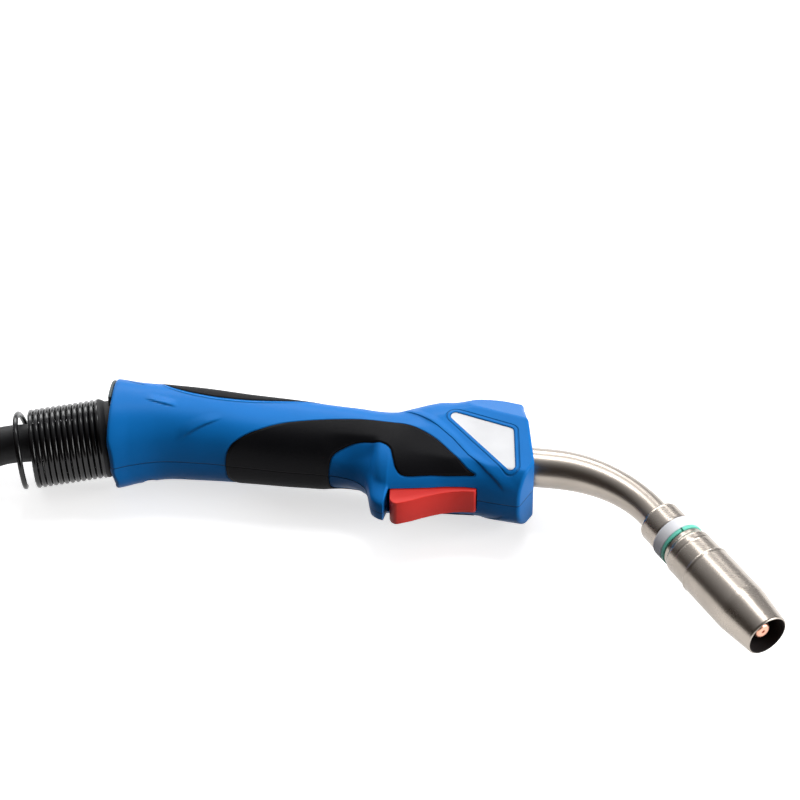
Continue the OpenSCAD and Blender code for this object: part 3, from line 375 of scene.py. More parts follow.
FINISH_MAKERS = {
    "shell": shell_finish,
    "grip": grip_finish,
    "trigger": lambda: moulded("trigger_red", chosen("trigger"), 0.4, 0.0004, 0.00003),
    "label": lambda: moulded("label_white", chosen("label"), 0.38, 0.0006, 0.00001),
    "collar": lambda: moulded("collar_grey", paint(70, 84, 86), 0.45, 0.0004, 0.00003),
    "neck": lambda: plated("neck_nickel", chosen("nickel"), 0.3, (0.3, 1, 1), marks=0.4),
    "nozzle": lambda: plated("nozzle_nickel", chosen("nickel"), 0.27, (0.05, 1, 1), NECK_TURN),
    # painted shade: a dark matte finish for the shade inside the nozzle's bore
    "bore_shade": lambda: moulded("nozzle_bore_shade", paint(30, 26, 26), 0.7, 0.0006, 0.00005),
    "tip": lambda: plated("tip_copper", chosen("tip"), 0.3, (0.1, 1, 1), NECK_TURN),
    "brass": lambda: plated("turned_brass", chosen("brass"), 0.25, (1, 0.08, 1)),
    "steel": lambda: plated("bright_steel", paint(176, 178, 182), 0.28, (1, 1, 0.1), marks=0.3),
    "insulator": lambda: moulded("insulator_white", chosen("insulator"), 0.5, 0.0007, 0.00002),
    "seal": lambda: moulded("seal_teal", chosen("seal"), 0.35, 0.0007, 0.00001),
    "screw": lambda: plated("screw_black", paint(52, 52, 56), 0.35, (1, 1, 1), marks=0.3),
    "spring": spring_finish,
    "sleeve": lambda: rubber_finish("sleeve_rubber", 0.6),
    "lead": lambda: rubber_finish("lead_rubber", 0.55),
    "connector": lambda: moulded(
        "connector_black", shade_by(chosen("rubber"), 1.15), 0.5, 0.0005, 0.00005),
    "switch": lambda: moulded("switch_black", paint(43, 43, 43), 0.5, 0.0004, 0.00003),
}


# ---- making pieces as by hand --------------------------------------------------------------------
# points of a piece that lie closer than this, in metres, are one point
SAME, SPUN_SAME = 1e-6, 2e-6


def lay_down():
    """Leaves edit mode and selects nothing."""
    if bpy.context.mode != "OBJECT":
        bpy.ops.object.mode_set(mode="OBJECT")
    bpy.ops.object.select_all(action="DESELECT")


def pick_up(piece):
    lay_down()
    piece.select_set(True)
    bpy.context.view_layer.objects.active = piece


def settle(piece, body, material, nodes=(), smooth=35):
    """Applies the place and modifiers of a piece, dresses it and hands it to its body."""
    pick_up(piece)
    for modifier in list(piece.modifiers):
        bpy.ops.object.modifier_apply(modifier=modifier.name)
    bpy.ops.object.transform_apply(location=True, rotation=True, scale=True)
    bpy.ops.object.shade_smooth_by_angle(angle=math.radians(smooth))
    piece.data.materials.clear()
    piece.data.materials.append(finish(material).material)
    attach(piece, body)
    if nodes:
        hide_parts(*nodes)


def bevelled(piece, width, segments, angle=30):
    edge = piece.modifiers.new("edges", "BEVEL")
    edge.width = width * MM
    edge.segments = segments
    edge.limit_method = "ANGLE"
    edge.angle_limit = math.radians(angle)
    return piece


def merge_all(threshold):
    """Makes one point of those that meet, in edit mode, and selects everything."""
    bpy.ops.mesh.select_all(action="SELECT")
    bpy.ops.mesh.remove_doubles(threshold=threshold)


def face_outwards():
    """Turns every face of the edited piece outwards and leaves edit mode."""
    bpy.ops.mesh.select_all(action="SELECT")
    bpy.ops.mesh.normals_make_consistent(inside=False)
    bpy.ops.object.mode_set(mode="OBJECT")


def line_of(name, points):
    """A mesh line through points in metres: one vertex, extruded from point to point."""
    lay_down()
    bpy.ops.mesh.primitive_plane_add(size=MM, location=points[0])
    piece = bpy.context.object
    piece.name = name
    bpy.ops.object.mode_set(mode="EDIT")
    bpy.ops.mesh.select_all(action="SELECT")
    bpy.ops.mesh.merge(type="CENTER")
    for before, after in zip(points, points[1:]):
        bpy.ops.mesh.extrude_vertices_move(TRANSFORM_OT_translate={"value": after - before})
    return piece


def held(profile):
    """The closed profile with a point close to both ends of each long side, for crisp shading."""
    near = 0.25
    out = []
    for (r, s), (r2, s2) in zip(profile, profile[1:] + profile[:1]):
        out.append((r, s))
        size = math.hypot(r2 - r, s2 - s)
        if size > 5 * near:
            for share in (near / size, 1 - near / size):
                out.append((r + (r2 - r) * share, s + (s2 - s) * share))
    return out


def turned(name, profile, start, axis, steps=None):
    """A closed profile of (radius, distance along the axis) in mm, spun round the axis."""
    axis = Vector(axis).normalized()
    upright = Vector((1, 0, 0)) if abs(axis.z) > 0.99 else Vector((0, 0, 1))
    side = axis.cross(upright).normalized()
    profile = held(list(profile))
    loop = profile + [profile[0]]
    piece = line_of(name, [start + axis * (s * MM) + side * (r * MM) for r, s in loop])
    merge_all(SAME)
    steps = steps or sizes().turned_steps
    bpy.ops.mesh.spin(steps=steps, angle=2 * math.pi, center=start, axis=axis)
    merge_all(SPUN_SAME)
    face_outwards()
    return piece


def rod(name, radius, low, high, start, axis, steps):
    """A plain turned rod between two distances along the axis."""
    return turned(name, [(0, low), (radius, low), (radius, high), (0, high)], start, axis, steps)


def prism(name, outline, thickness, axis=(0, 0, 1)):
    """A closed outline of points in metres, filled and pulled along an axis."""
    piece = line_of(name, list(outline) + [outline[0]])
    merge_all(SAME)
    bpy.ops.mesh.edge_face_add()
    bpy.ops.mesh.extrude_region_move(
        TRANSFORM_OT_translate={"value": Vector(axis) * (thickness * MM)})
    face_outwards()
    return piece


def cut_away(piece, cutters):
    """Cuts closed shapes out of a piece and throws them away."""
    for cutter in cutters:
        pick_up(piece)
        bite = piece.modifiers.new("cut", "BOOLEAN")
        bite.operation = "DIFFERENCE"
        bite.solver = "EXACT"
        bite.object = cutter
        bpy.ops.object.modifier_apply(modifier=bite.name)
        bpy.data.objects.remove(cutter)


def joined(name, pieces):
    """One object made of several."""
    lay_down()
    for piece in pieces:
        piece.select_set(True)
    bpy.context.view_layer.objects.active = pieces[0]
    bpy.ops.object.join()
    whole = bpy.context.object
    whole.name = name
    return whole


def run_of(name, points, radius, rings, across, shares=None):
    """A smooth curve through points in metres with a round section; radius in mm."""
    lay_down()
    bpy.ops.curve.primitive_bezier_curve_add(location=(0, 0, 0))
    piece = bpy.context.object
    piece.name = name
    line = piece.data
    line.dimensions = "3D"
    spline = line.splines[0]
    spline.bezier_points.add(len(points) - 2)
    for i, (knot, point) in enumerate(zip(spline.bezier_points, points)):
        knot.co = point
        knot.handle_left_type = knot.handle_right_type = "AUTO"
        knot.radius = shares[i] if shares else 1.0
    line.resolution_u = rings
    line.bevel_depth = radius * MM
    line.bevel_resolution = across
    line.use_fill_caps = True
    return piece


def as_mesh(piece):
    pick_up(piece)
    bpy.ops.object.convert(target="MESH")
    return bpy.context.object


def built(name, points, faces):
    """A mesh object from points in metres, for forms that no modelling step gives."""
    lay_down()
    mesh = bpy.data.meshes.new(name)
    mesh.from_pydata([tuple(p) for p in points], [], [tuple(f) for f in faces])
    mesh.update()
    piece = bpy.data.objects.new(name, mesh)
    bpy.context.scene.collection.objects.link(piece)
    return piece


# ---- the neck's and the sleeve's axes ------------------------------------------------------------
# the neck runs straight for NECK_LEAD and then bends round BEND_R
NECK_LEAD, BEND_R, BEND = 9.0, 62.0, math.radians(50)
NECK_TURN = (0, 0, BEND)
FRONT_AXIS = Vector((math.cos(BEND), -math.sin(BEND), 0))
# where the solids' rings and nozzle start along the front axis
S_RING, S_SEAL, S_HOLD, S_NOZZLE = 11.0, 19.0, 20.2, 34.7
# the visible edges of the rings and of the nozzle's joint stand this much further forward
RING_SHIFT, JOINT_SHIFT = 3.6, 4.6
NOZZLE_LEN = 52.0
REAR_X, REAR_Y = -193.0, -4.9
SLEEVE_AT = row(REAR_X, REAR_Y)
LEAN, SINK = math.radians(14), math.radians(5.6)
SLEEVE_AXIS = Vector((-math.cos(LEAN) * math.cos(SINK), -math.sin(LEAN) * math.cos(SINK),
                      -math.sin(SINK)))


def on_bend(angle):
    """A point of the neck's bend, in metres."""
    return row(NECK_LEAD + BEND_R * math.sin(angle), -BEND_R * (1 - math.cos(angle)))


def on_neck(s):
    """A point s mm beyond the bend's end on the front axis, in metres."""
    return on_bend(BEND) + FRONT_AXIS * (s * MM)


# ---- the handle's skin ---------------------------------------------------------------------------
# x, spine height, belly depth, half width, squareness
SECTIONS = np.array([
    [-201, 21.6, -29, 24, 2.3], [-191, 21.1, -26, 24, 2.3], [-182, 20.3, -21.9, 23, 2.3],
    [-169, 20.3, -18, 21.8, 2.4], [-151, 20, -16.6, 21, 2.5], [-131, 19.6, -16.6, 19.7, 2.5],
    [-111.5, 19.5, -17, 18.8, 2.5], [-92, 18.5, -16.8, 18.3, 2.5], [-80, 18.5, -18.8, 18.3, 2.4],
    [-74, 18.8, -22.9, 18.3, 2.3], [-68, 19.4, -28.6, 18.3, 2.3], [-64.3, 19.9, -30, 18.5, 2.3],
    [-63.1, 20.2, -29.9, 18.5, 2.3], [-46, 27, -26.8, 19.5, 2.5], [-37, 27.4, -24.8, 20.5, 2.6],
    [-26, 30.3, -23.7, 21.2, 2.8], [-15, 31.7, -24.7, 21.5, 2.9], [8, 28.4, -26.6, 21.5, 2.9]])
GRIP_OUTLINE = [
    (-139.2, -17), (-136.6, -14.6), (-131.2, -11.7), (-124.4, -8.6), (-111.8, -3.6), (-92.7, 0.9),
    (-75.5, 3), (-63.6, 2.8), (-54.2, 0.6), (-44.4, -4.8), (-35.3, -13), (-28.5, -18.6),
    (-24.2, -20.7), (-30, -21.3), (-44, -22.7), (-56, -24.3), (-60.2, -22.2), (-62.1, -17.8),
    (-63.9, -13.3), (-67.6, -10.6), (-73.9, -9.4), (-80.9, -10), (-87.5, -12.6), (-90.8, -15.4),
    (-92, -20), (-91, -30), (-112, -36), (-134, -36), (-140.8, -27), (-140.9, -21)]
SPINE_OUTLINE = [
    (-177, 34), (-174.5, 19), (-169, 11.6), (-161, 8.3), (-152, 6.9), (-143.4, 6.6), (-129.5, 7.8),
    (-114, 11), (-100, 15.5), (-89, 18.7), (-81, 34)]
LABEL_CORNERS = [(-36.8, 9.3), (-11.6, 3.2), (-8.8, -17.0)]
LABEL_ROUND = 2.2
# a point on the edge between the head's label face and its facet, and how the two faces lie
LABEL_EDGE = (-19.0, 14.5, 20.0)
LABEL_TILT, FACET_SLOPE, FACET_TURN = math.radians(4), math.radians(31), math.radians(-12)
HEAD_CREASE = [(-63, 15.5), (-55, 10.4), (-44.1, 2.8), (-36.4, -4), (-28.5, -12.7), (-19.6, -19.6),
               (-11.5, -24.3), (-4.5, -28)]
# both ends of each fold behind the grip
FOLDS = [((-179, -0.2), (-162, -2.6)), ((-162, -15.5), (-141, -5.2)), ((-190, 13.4), (-178, 9.4))]
# the trigger's slot: its back and front end, top and half width
SLOT = (-63.2, -23.0, -14.5, 7.5)
# where the slot's cutter starts, well below the belly
BELOW = -60
SCREWS = [(-8, 24), (-84, 13.5), (-175, -14.8)]
# how far the front face stands back at height 0 and its lower facet at FACET_Y, and their leans
FACE_BACK, FACE_LEAN = 1.2, math.tan(math.radians(12))
FACET_BACK, FACET_LEAN, FACET_Y = 0.4, 0.4663, -18.2
REAR_LEAN = math.tan(math.radians(2))
# the stations from which the front's and the rear's lean grow in, and over which length
FRONT_GROWS, REAR_GROWS = (-45, 35), (-150, 30)
# how far the rear rim's lower corner is drawn in, on both sides and on the table side once more
CORNER_IN, TABLE_CORNER_IN = 3.0, 2.8
# how far the front face comes forward round the front screw
SCREW_CORNER = 2.2
# how deep the skin is drawn in beside the crease and behind the guard, and the prong's length
CREASE_DEPTH, GUARD_DEPTH, PRONG = 0.7, 4.0, 7.2
BORE_R, BORE_DEPTH = 9.2, 12
RECESS_DEPTH, RECESS_INSET = 3.0, 2.4
# points on each half of a ring, and rings from the front rim to the bore
HALF_RING, CAP_RINGS = 84, 15
# the grip ends behind this station, and the label lies above this height
GRIP_END, LABEL_LOW = -20, 5


def hermite(x, column):
    """A smooth value between the rows of SECTIONS."""
    xs, ys = SECTIONS[:, 0], SECTIONS[:, column]
    slope = np.gradient(ys, xs)
    slope[1:-1] = (ys[2:] - ys[:-2]) / (xs[2:] - xs[:-2])
    i = np.clip(np.searchsorted(xs, x, side="right") - 1, 0, len(xs) - 2)
    h = xs[i + 1] - xs[i]
    t = (x - xs[i]) / h
    return ((2 * t**3 - 3 * t**2 + 1) * ys[i] + (t**3 - 2 * t**2 + t) * h * slope[i]
            + (3 * t**2 - 2 * t**3) * ys[i + 1] + (t**3 - t**2) * h * slope[i + 1])


def ease(t):
    t = np.clip(t, 0, 1)
    return t * t * (3 - 2 * t)


def above(value, start, over):
    """0 up to start, and from there easing up to 1 over a length."""
    return ease((value - start) / over)


def under(value, start, over):
    """0 from start on, and below it easing up to 1 over a length."""
    return ease((start - value) / over)


def soft_over(value, width):
    """The part of value over zero, eased in over a width."""
    return np.where(value > width, value, np.where(
        value < -width, 0.0, (value + width) ** 2 / (4 * width)))


def front_face(y):
    """Where the front face and its lower facet stand at height y."""
    leaning = -FACE_BACK - y * FACE_LEAN
    facet = -FACET_BACK + FACET_LEAN * (y - FACET_Y)
    return leaning - soft_over(leaning - facet, 0.6)


def screw_corner(y, z):
    """How far the front face stands forward round the front screw, on the table side only."""
    return SCREW_CORNER * under(z, -2, 4) * above(y, 11, 8)


def smooth_loop(points, steps=12):
    """A closed smooth loop through the points."""
    p = np.array(points, float)
    a, b, c, d = np.roll(p, 1, 0), p, np.roll(p, -1, 0), np.roll(p, -2, 0)
    t = np.linspace(0, 1, steps, endpoint=False)[:, None, None]
    out = 0.5 * (2 * b + (c - a) * t + (2 * a - 5 * b + 4 * c - d) * t**2
                 + (3 * b - a - 3 * c + d) * t**3)
    return out.transpose(1, 0, 2).reshape(-1, 2)


def distance_to(loop, x, y):
    """Signed distance from each place to a closed loop, negative inside it."""
    q = np.stack([x, y], 1)
    best = np.full(len(q), np.inf)
    inside = np.zeros(len(q), bool)
    for a, b in zip(loop, np.roll(loop, -1, 0)):
        edge = b - a
        t = np.clip(((q - a) @ edge) / max(edge @ edge, 1e-12), 0, 1)
        best = np.minimum(best, np.hypot(*(q - a - t[:, None] * edge).T))
        crosses = (a[1] > q[:, 1]) != (b[1] > q[:, 1])
        with np.errstate(divide="ignore", invalid="ignore"):
            at = a[0] + (q[:, 1] - a[1]) * edge[0] / edge[1]
        inside ^= crosses & (q[:, 0] < at)
    return np.where(inside, -best, best)


def section_ring(x, inset, count):
    """Half sections of the loft at each x, evenly spaced from the belly to the spine."""
    top = hermite(x, 1) - inset
    low = hermite(x, 2) + inset
    wide = hermite(x, 3) - inset
    power = 2 / hermite(x, 4)
    a = np.radians(np.linspace(-90, 90, count))
    sine, cosine = np.sin(a), np.clip(np.cos(a), 0, None)
    y = (top + low) / 2 + (top - low) / 2 * np.sign(sine) * np.abs(sine) ** power
    return y, wide * cosine ** power


def skin_points(u, inset):
    """One closed ring of the skin at station u, drawn in by inset."""
    front = float(above(u, *FRONT_GROWS))
    rear = float(under(u, *REAR_GROWS))
    fine = 400
    x = np.full(fine, float(u))
    for _ in range(6):
        y, z = section_ring(x, inset, fine)
        corner = rear * CORNER_IN * under(y, -21.5, 5)
        x = u + front * front_face(y) - rear * y * REAR_LEAN + corner
    walk = np.concatenate([[0], np.cumsum(np.sqrt(np.diff(x)**2 + np.diff(y)**2 + np.diff(z)**2))])
    even = np.linspace(0, walk[-1], HALF_RING + 1)
    side = np.stack([np.interp(even, walk, v) for v in (x, y, z)], 1)
    side[0, 2] = side[-1, 2] = 0
    other = side[-2:0:-1] * (1, 1, -1)
    aside, height = other[:, 2], other[:, 1]
    other[:, 0] += rear * TABLE_CORNER_IN * under(aside, -2, 12) * under(height, -6, 10)
    other[:, 0] += front * screw_corner(height, aside)
    return np.concatenate([side, other])


def pressed_by_planes(p, inset):
    """Presses the head's flat faces into the skin on both sides."""
    mirror = np.ones_like(p)
    mirror[:, 2] = np.where(p[:, 2] < 0, -1.0, 1.0)
    q = p * mirror
    label = np.array([0, -math.sin(LABEL_TILT), math.cos(LABEL_TILT)])
    facet = np.array([-math.sin(FACET_TURN) * math.sin(FACET_SLOPE),
                      math.cos(FACET_TURN) * math.sin(FACET_SLOPE), math.cos(FACET_SLOPE)])
    keep = above(q[:, 0], -60, 12)
    for _ in range(3):
        for normal in (label, facet):
            over = (q - LABEL_EDGE) @ normal + inset
            q = q - (soft_over(over, 0.5) * keep)[:, None] * normal
    q[:, 2] = np.maximum(q[:, 2], 0)
    return q * mirror


def beside_line(line, x, y):
    """Signed distance to an open line, positive on its upper right, and the share along it."""
    line = np.array(line, float)
    best, side, along = np.full(x.shape, np.inf), np.zeros(x.shape), np.zeros(x.shape)
    count = len(line) - 1
    for i, (a, b) in enumerate(zip(line, line[1:])):
        edge = b - a
        raw = ((x - a[0]) * edge[0] + (y - a[1]) * edge[1]) / (edge @ edge)
        t = np.clip(raw, 0, 1)
        away = np.hypot(x - a[0] - t * edge[0], y - a[1] - t * edge[1])
        cross = edge[0] * (y - a[1]) - edge[1] * (x - a[0])
        near = away < best
        best = np.where(near, away, best)
        side = np.where(near, np.sign(cross), side)
        along = np.where(near, (i + t) / count, along)
    return best * side, along


def crease_field(p):
    """Distance to the head's crease, positive on the head's side, and its strength."""
    x, y, z = p.T
    away, along = beside_line(HEAD_CREASE, x, y)
    return away, above(along, 0, 0.12) * under(along, 1, 0.08) * above(np.abs(z), 7, 5)


def fold_field(p):
    """The folds' ridges, from 0 to 1 with one steep and one soft side, and their pinched lines."""
    x, y, z = p.T
    total = np.zeros(x.shape)
    pinch = np.zeros(x.shape)
    for fold in FOLDS:
        away, along = beside_line(fold, x, y)
        ends = above(along, 0, 0.35) * under(along, 1, 0.35)
        profile = np.where(away > 0, ease(1 - away / 4.5), ease(1 + away / 0.8))
        total = np.maximum(total, profile * ends)
        pinch = np.maximum(pinch, ease(1 - np.abs(away + 0.4) / 0.9) * ends)
    side = above(np.abs(z), 3, 4)
    return total * side, pinch * side


def relieved(p):
    """Draws the skin in beside the head's crease, and between the grip and the guard's rib."""
    x, y, z = p.T
    away, strength = crease_field(p)
    low = under(away, 0.5, 1.2) * above(away, -9, 8) * strength * CREASE_DEPTH
    groove = under(x, -68.6, 4.5) * above(x, -97, 16) * under(y, -6, 9) * above(y, -31, 8)
    groove = groove * GUARD_DEPTH
    p = p.copy()
    p[:, 2] = z - np.sign(z) * np.minimum(np.abs(z), low + groove)
    return p


def guard_prong(p):
    """Pulls the belly down into the narrow prong behind the trigger."""
    x, y, z = p.T
    grow = above(x, -75, 5.5) * under(x, -62.8, 1.6)
    p = p.copy()
    p[:, 1] = y - PRONG * grow * under(np.abs(z), 9.5, 4.5) * under(y, -18, 8)
    return p


def skin_grid():
    """Rings of the whole handle, from the bottom of the rear recess to that of the neck's bore."""
    step = sizes().skin_step / MM
    rim = sizes().rim_round / MM
    # the rings stand closer round the guard's prong
    stations = np.concatenate([np.arange(REAR_X + rim, -80, step), np.arange(-80, -67, 0.6),
                               np.arange(-67, -60, 0.3), np.arange(-60, -rim, step)])
    turn = np.radians(np.linspace(0, 90, 7))[1:]
    round_off = [(rim * (1 - math.sin(t)), rim * (1 - math.cos(t))) for t in turn]
    outer = [(u, 0.0) for u in stations] + [(-rim, 0.0)] + [(-a, inset) for a, inset in round_off]
    rear = [(REAR_X + a, inset) for a, inset in round_off[::-1]]
    floor_x = REAR_X + RECESS_DEPTH
    recess = [(floor_x, RECESS_INSET), (-192.4, RECESS_INSET), (REAR_X, 2.1)]
    bottom = skin_points(floor_x, RECESS_INSET)
    hub = np.array([floor_x - REAR_Y * REAR_LEAN, REAR_Y, 0])
    rings = [hub + (bottom - hub) * share for share in (0.0, 0.3, 0.6, 0.85)]
    for u, inset in recess + rear + outer:
        rings.append(pressed_by_planes(guard_prong(relieved(skin_points(u, inset))), inset))
    rim_ring = rings[-1]
    angle = np.arctan2(rim_ring[:, 2], rim_ring[:, 1])
    bore = np.stack([np.zeros_like(angle), BORE_R * np.cos(angle), BORE_R * np.sin(angle)], 1)
    for t in np.linspace(0, 1, CAP_RINGS + 1)[1:]:
        ring = rim_ring * (1 - t) + bore * t
        ring[:, 0] = front_face(ring[:, 1]) + screw_corner(ring[:, 1], ring[:, 2])
        rings.append(ring)
    edge = 0.985
    for depth, share in ((0.5, edge), (BORE_DEPTH, edge), (BORE_DEPTH, 0.5), (BORE_DEPTH, 0)):
        ring = bore * share
        ring[:, 0] = front_face(bore[:, 1]) * (share if share == edge else 0) - depth
        rings.append(ring)
    return np.array(rings)


def fields(p):
    """Signed distances to the grip's, the spine insert's and the label's edges."""
    x, y, z = p.T
    far = 50.0
    grip = distance_to(smooth_loop(GRIP_OUTLINE), x, y)
    spine = distance_to(smooth_loop(SPINE_OUTLINE), x, y)
    label = distance_to(np.array(LABEL_CORNERS), x, y) - LABEL_ROUND
    return np.where(x > GRIP_END, far, grip), spine, np.where(z > LABEL_LOW, label, far)


def split_skin(points, faces, value):
    """Cuts triangles along value = 0. Returns points, outer and inner faces and the cut's edges."""
    points = [tuple(p) for p in points]
    value = list(value)
    cut = {}

    def between(a, b):
        key = (min(a, b), max(a, b))
        if key not in cut:
            t = value[a] / (value[a] - value[b])
            cut[key] = len(points)
            points.append(tuple(np.array(points[a]) * (1 - t) + np.array(points[b]) * t))
            value.append(0.0)
        return cut[key]

    outer, inner, edges = [], [], []
    for face in faces:
        signs = [value[i] > 0 for i in face]
        if all(signs):
            outer.append(face)
            continue
        if not any(signs):
            inner.append(face)
            continue
        lone = signs.index(True) if signs.count(True) == 1 else signs.index(False)
        a, b, c = face[lone], face[(lone + 1) % 3], face[(lone + 2) % 3]
        ab, ca = between(a, b), between(a, c)
        single, double = [(a, ab, ca)], [(ab, b, c), (ab, c, ca)]
        if signs[lone]:
            outer += single
            inner += double
            edges.append((ab, ca))
        else:
            inner += single
            outer += double
            edges.append((ca, ab))
    return points, outer, inner, edges


def vertex_normals(points, faces):
    p, f = np.array(points), np.array(faces)
    flat = np.cross(p[f[:, 1]] - p[f[:, 0]], p[f[:, 2]] - p[f[:, 0]])
    normal = np.zeros_like(p)
    for k in range(3):
        np.add.at(normal, f[:, k], flat)
    return normal / np.maximum(np.linalg.norm(normal, axis=1), 1e-12)[:, None]


def in_row(points):
    return np.array(points) * MM + np.array(row(0, 0, 0))


def keep_value(piece, name, values):
    store = piece.data.attributes.new(name, "FLOAT", "POINT")
    store.data.foreach_set("value", np.array(values, np.float32))


def compact(faces):
    """The points that the faces use, and the faces on those points alone."""
    used = sorted({i for face in faces for i in face})
    new = {old: i for i, old in enumerate(used)}
    return used, [tuple(new[i] for i in face) for face in faces]


class HandleSkin:
    """The handle's skin as triangles, with its fields, worked out once."""

    made = None
    # no insert reaches the rings of the rear recess, or the skin beyond the front face
    RECESS_RINGS, FRONT_END, OUTSIDE = 6, 2, 0.4

    def __init__(self):
        grid = skin_grid()
        rings, around = grid.shape[:2]
        self.points = grid.reshape(-1, 3)
        self.faces = []
        for i in range(rings - 1):
            for j in range(around):
                k = (j + 1) % around
                a, b = i * around + j, i * around + k
                c, d = b + around, a + around
                self.faces += [(a, c, b), (a, d, c)]
        self.grip, self.spine, self.label = fields(self.points)
        deep = np.arange(len(self.points)) < self.RECESS_RINGS * around
        deep |= self.points[:, 0] > self.FRONT_END
        for field in (self.grip, self.spine, self.label):
            field[deep] = np.maximum(field[deep], self.OUTSIDE)

    @classmethod
    def get(cls):
        if cls.made is None:
            cls.made = cls()
        return cls.made


def plate_from_skin(name, field, gap, depth, lift):
    """A closed inlay: the skin inside the field's edge, given a thickness inwards."""
    skin = HandleSkin.get()
    points, _, inner, edges = split_skin(skin.points, skin.faces, np.array(field) + gap)
    normal = vertex_normals(points, inner)
    used, top = compact(inner)
    place = {old: i for i, old in enumerate(used)}
    p = np.array(points)[used]
    n = normal[used]
    count = len(used)
    bottom = [tuple(count + i for i in face[::-1]) for face in top]
    walls = []
    for a, b in edges:
        a, b = place[a], place[b]
        walls += [(b, a, count + a), (b, count + a, count + b)]
    full = np.concatenate([p + n * lift, p - n * depth])
    return built(name, in_row(full), top + bottom + walls), p


# ---- the lead's way and the connector's axis -----------------------------------------------------
# through the sleeve in handle space, and then to the coil and away from it in table space
INNER_ROUTE = [(-196, -5.7, -0.2), (-214, -8.3, -1.3), (-231.6, -10.8, -3)]
OUTER_ROUTE = [(-179, 18.2, 20), (-186, 16.1, 18.6), (-195.3, 12, 16.2), (-203.8, 6.6, 13.6),
               (-212.4, -0.7, 11)]
END_ROUTE = [(-373.5, -76.9, 28), (-390, -76.9, 26.3), (-402.1, -76.9, 23), (-414.1, -75.9, 19.2),
             (-425.7, -72.7, 15.8), (-436.6, -67.7, 13), (-446.4, -60.8, 11), (-454.9, -52.3, 9.9),
             (-462.9, -40.3, 9.4), (-468.7, -25.8, 9.6)]
LEAD_D = 18.0
# from one turn of the coil to the next, and from one layer to the other
PILE = 18.6
COIL_R, COIL_TURNS, COIL_END = 116.0, 2.0, 1.652
COIL_AT = (-332.0, 32.7)
COIL_FROM = -35.0
# the half turn in which the coil climbs to its upper layer
CLIMB = 0.5
TILT = math.radians(7.607)
CONNECTOR_AT = Vector((-471, 0.7, 11.894))
CONNECTOR_AXIS = Vector((0, math.cos(TILT), math.sin(TILT)))
CONNECTOR_PIECES = ("connector_boot_ribbed", "connector_shell", "connector_face", "hand_nut",
                    "contact_plug", "gas_nipple_turned", "nipple_ring", "sprung_pin_a",
                    "sprung_pin_b")


def on_connector(s=0.0):
    return (CONNECTOR_AT + CONNECTOR_AXIS * s) * MM


def beside_connector(angle, r, s=0.0):
    """A place r mm beside the connector's axis, turned by degrees from the floor side."""
    across = Vector((1, 0, 0))
    down = CONNECTOR_AXIS.cross(across)
    a = math.radians(angle)
    return on_connector(s) + (down * math.cos(a) + across * math.sin(a)) * (r * MM)


def coaxial(name, profile, steps):
    """A piece turned round the connector's axis."""
    return turned(name, profile, on_connector(), CONNECTOR_AXIS, steps)


def coil_point(t):
    """The coil after t turns: inwards on the lower layer, then outwards on the upper one."""
    low = COIL_R - COIL_TURNS * PILE
    s = t - COIL_TURNS
    if s < 0:
        r = COIL_R - PILE * t
    elif s < CLIMB:
        r = low - PILE * (s - 2 * s * s)
    else:
        r = low + PILE * (s - CLIMB)
    z = LEAD_D / 2 + PILE * min(max(s / CLIMB, 0), 1)
    a = math.radians(COIL_FROM - 360 * t)
    return (COIL_AT[0] + r * math.cos(a), COIL_AT[1] + r * math.sin(a), z)


def coil_heading(t):
    a = math.radians(COIL_FROM - 360 * t)
    return Vector((math.sin(a), -math.cos(a), 0))


def lead_points():
    """The lead's way over the table, in metres."""
    inner = [row(*p) for p in INNER_ROUTE]
    start = Vector(coil_point(0))
    whole = COIL_TURNS + CLIMB + COIL_END
    steps = math.ceil(whole * 24)
    coil = [coil_point(i * whole / steps) for i in range(steps + 1)]
    stop = Vector(coil[-1])
    way = OUTER_ROUTE + [start - coil_heading(0) * LEAD_D * 1.6, start - coil_heading(0) * LEAD_D] \
        + coil + [stop + coil_heading(whole) * LEAD_D] + END_ROUTE \
        + [CONNECTOR_AT + CONNECTOR_AXIS * s for s in (-0.6 * LEAD_D, 0, 30, 60)]
    return inner + table(way)


# ---- operators -----------------------------------------------------------------------------------
class TORCH_OT_camera(Operator):
    """Set the camera up at the torch's viewing angle"""
    bl_idname = "torch.camera"
    bl_label = "Camera"
    TARGET = (-0.00366, 0.0655, 0.024)
    SENSOR = 36
    CLIP_END = 20

    def execute(self, context):
        view = context.scene.torch_view
        lay_down()
        a, e = view.azimuth, view.elevation
        back = Vector((math.sin(a) * math.cos(e), -math.cos(a) * math.cos(e), math.sin(e)))
        bpy.ops.object.camera_add(location=Vector(self.TARGET) + back * view.distance)
        camera = context.object
        camera.name = "camera"
        camera.rotation_euler = back.to_track_quat("Z", "Y").to_euler()
        camera.data.lens = view.lens
        camera.data.sensor_width = self.SENSOR
        camera.data.clip_end = self.CLIP_END
        context.scene.camera = camera
        return {"FINISHED"}


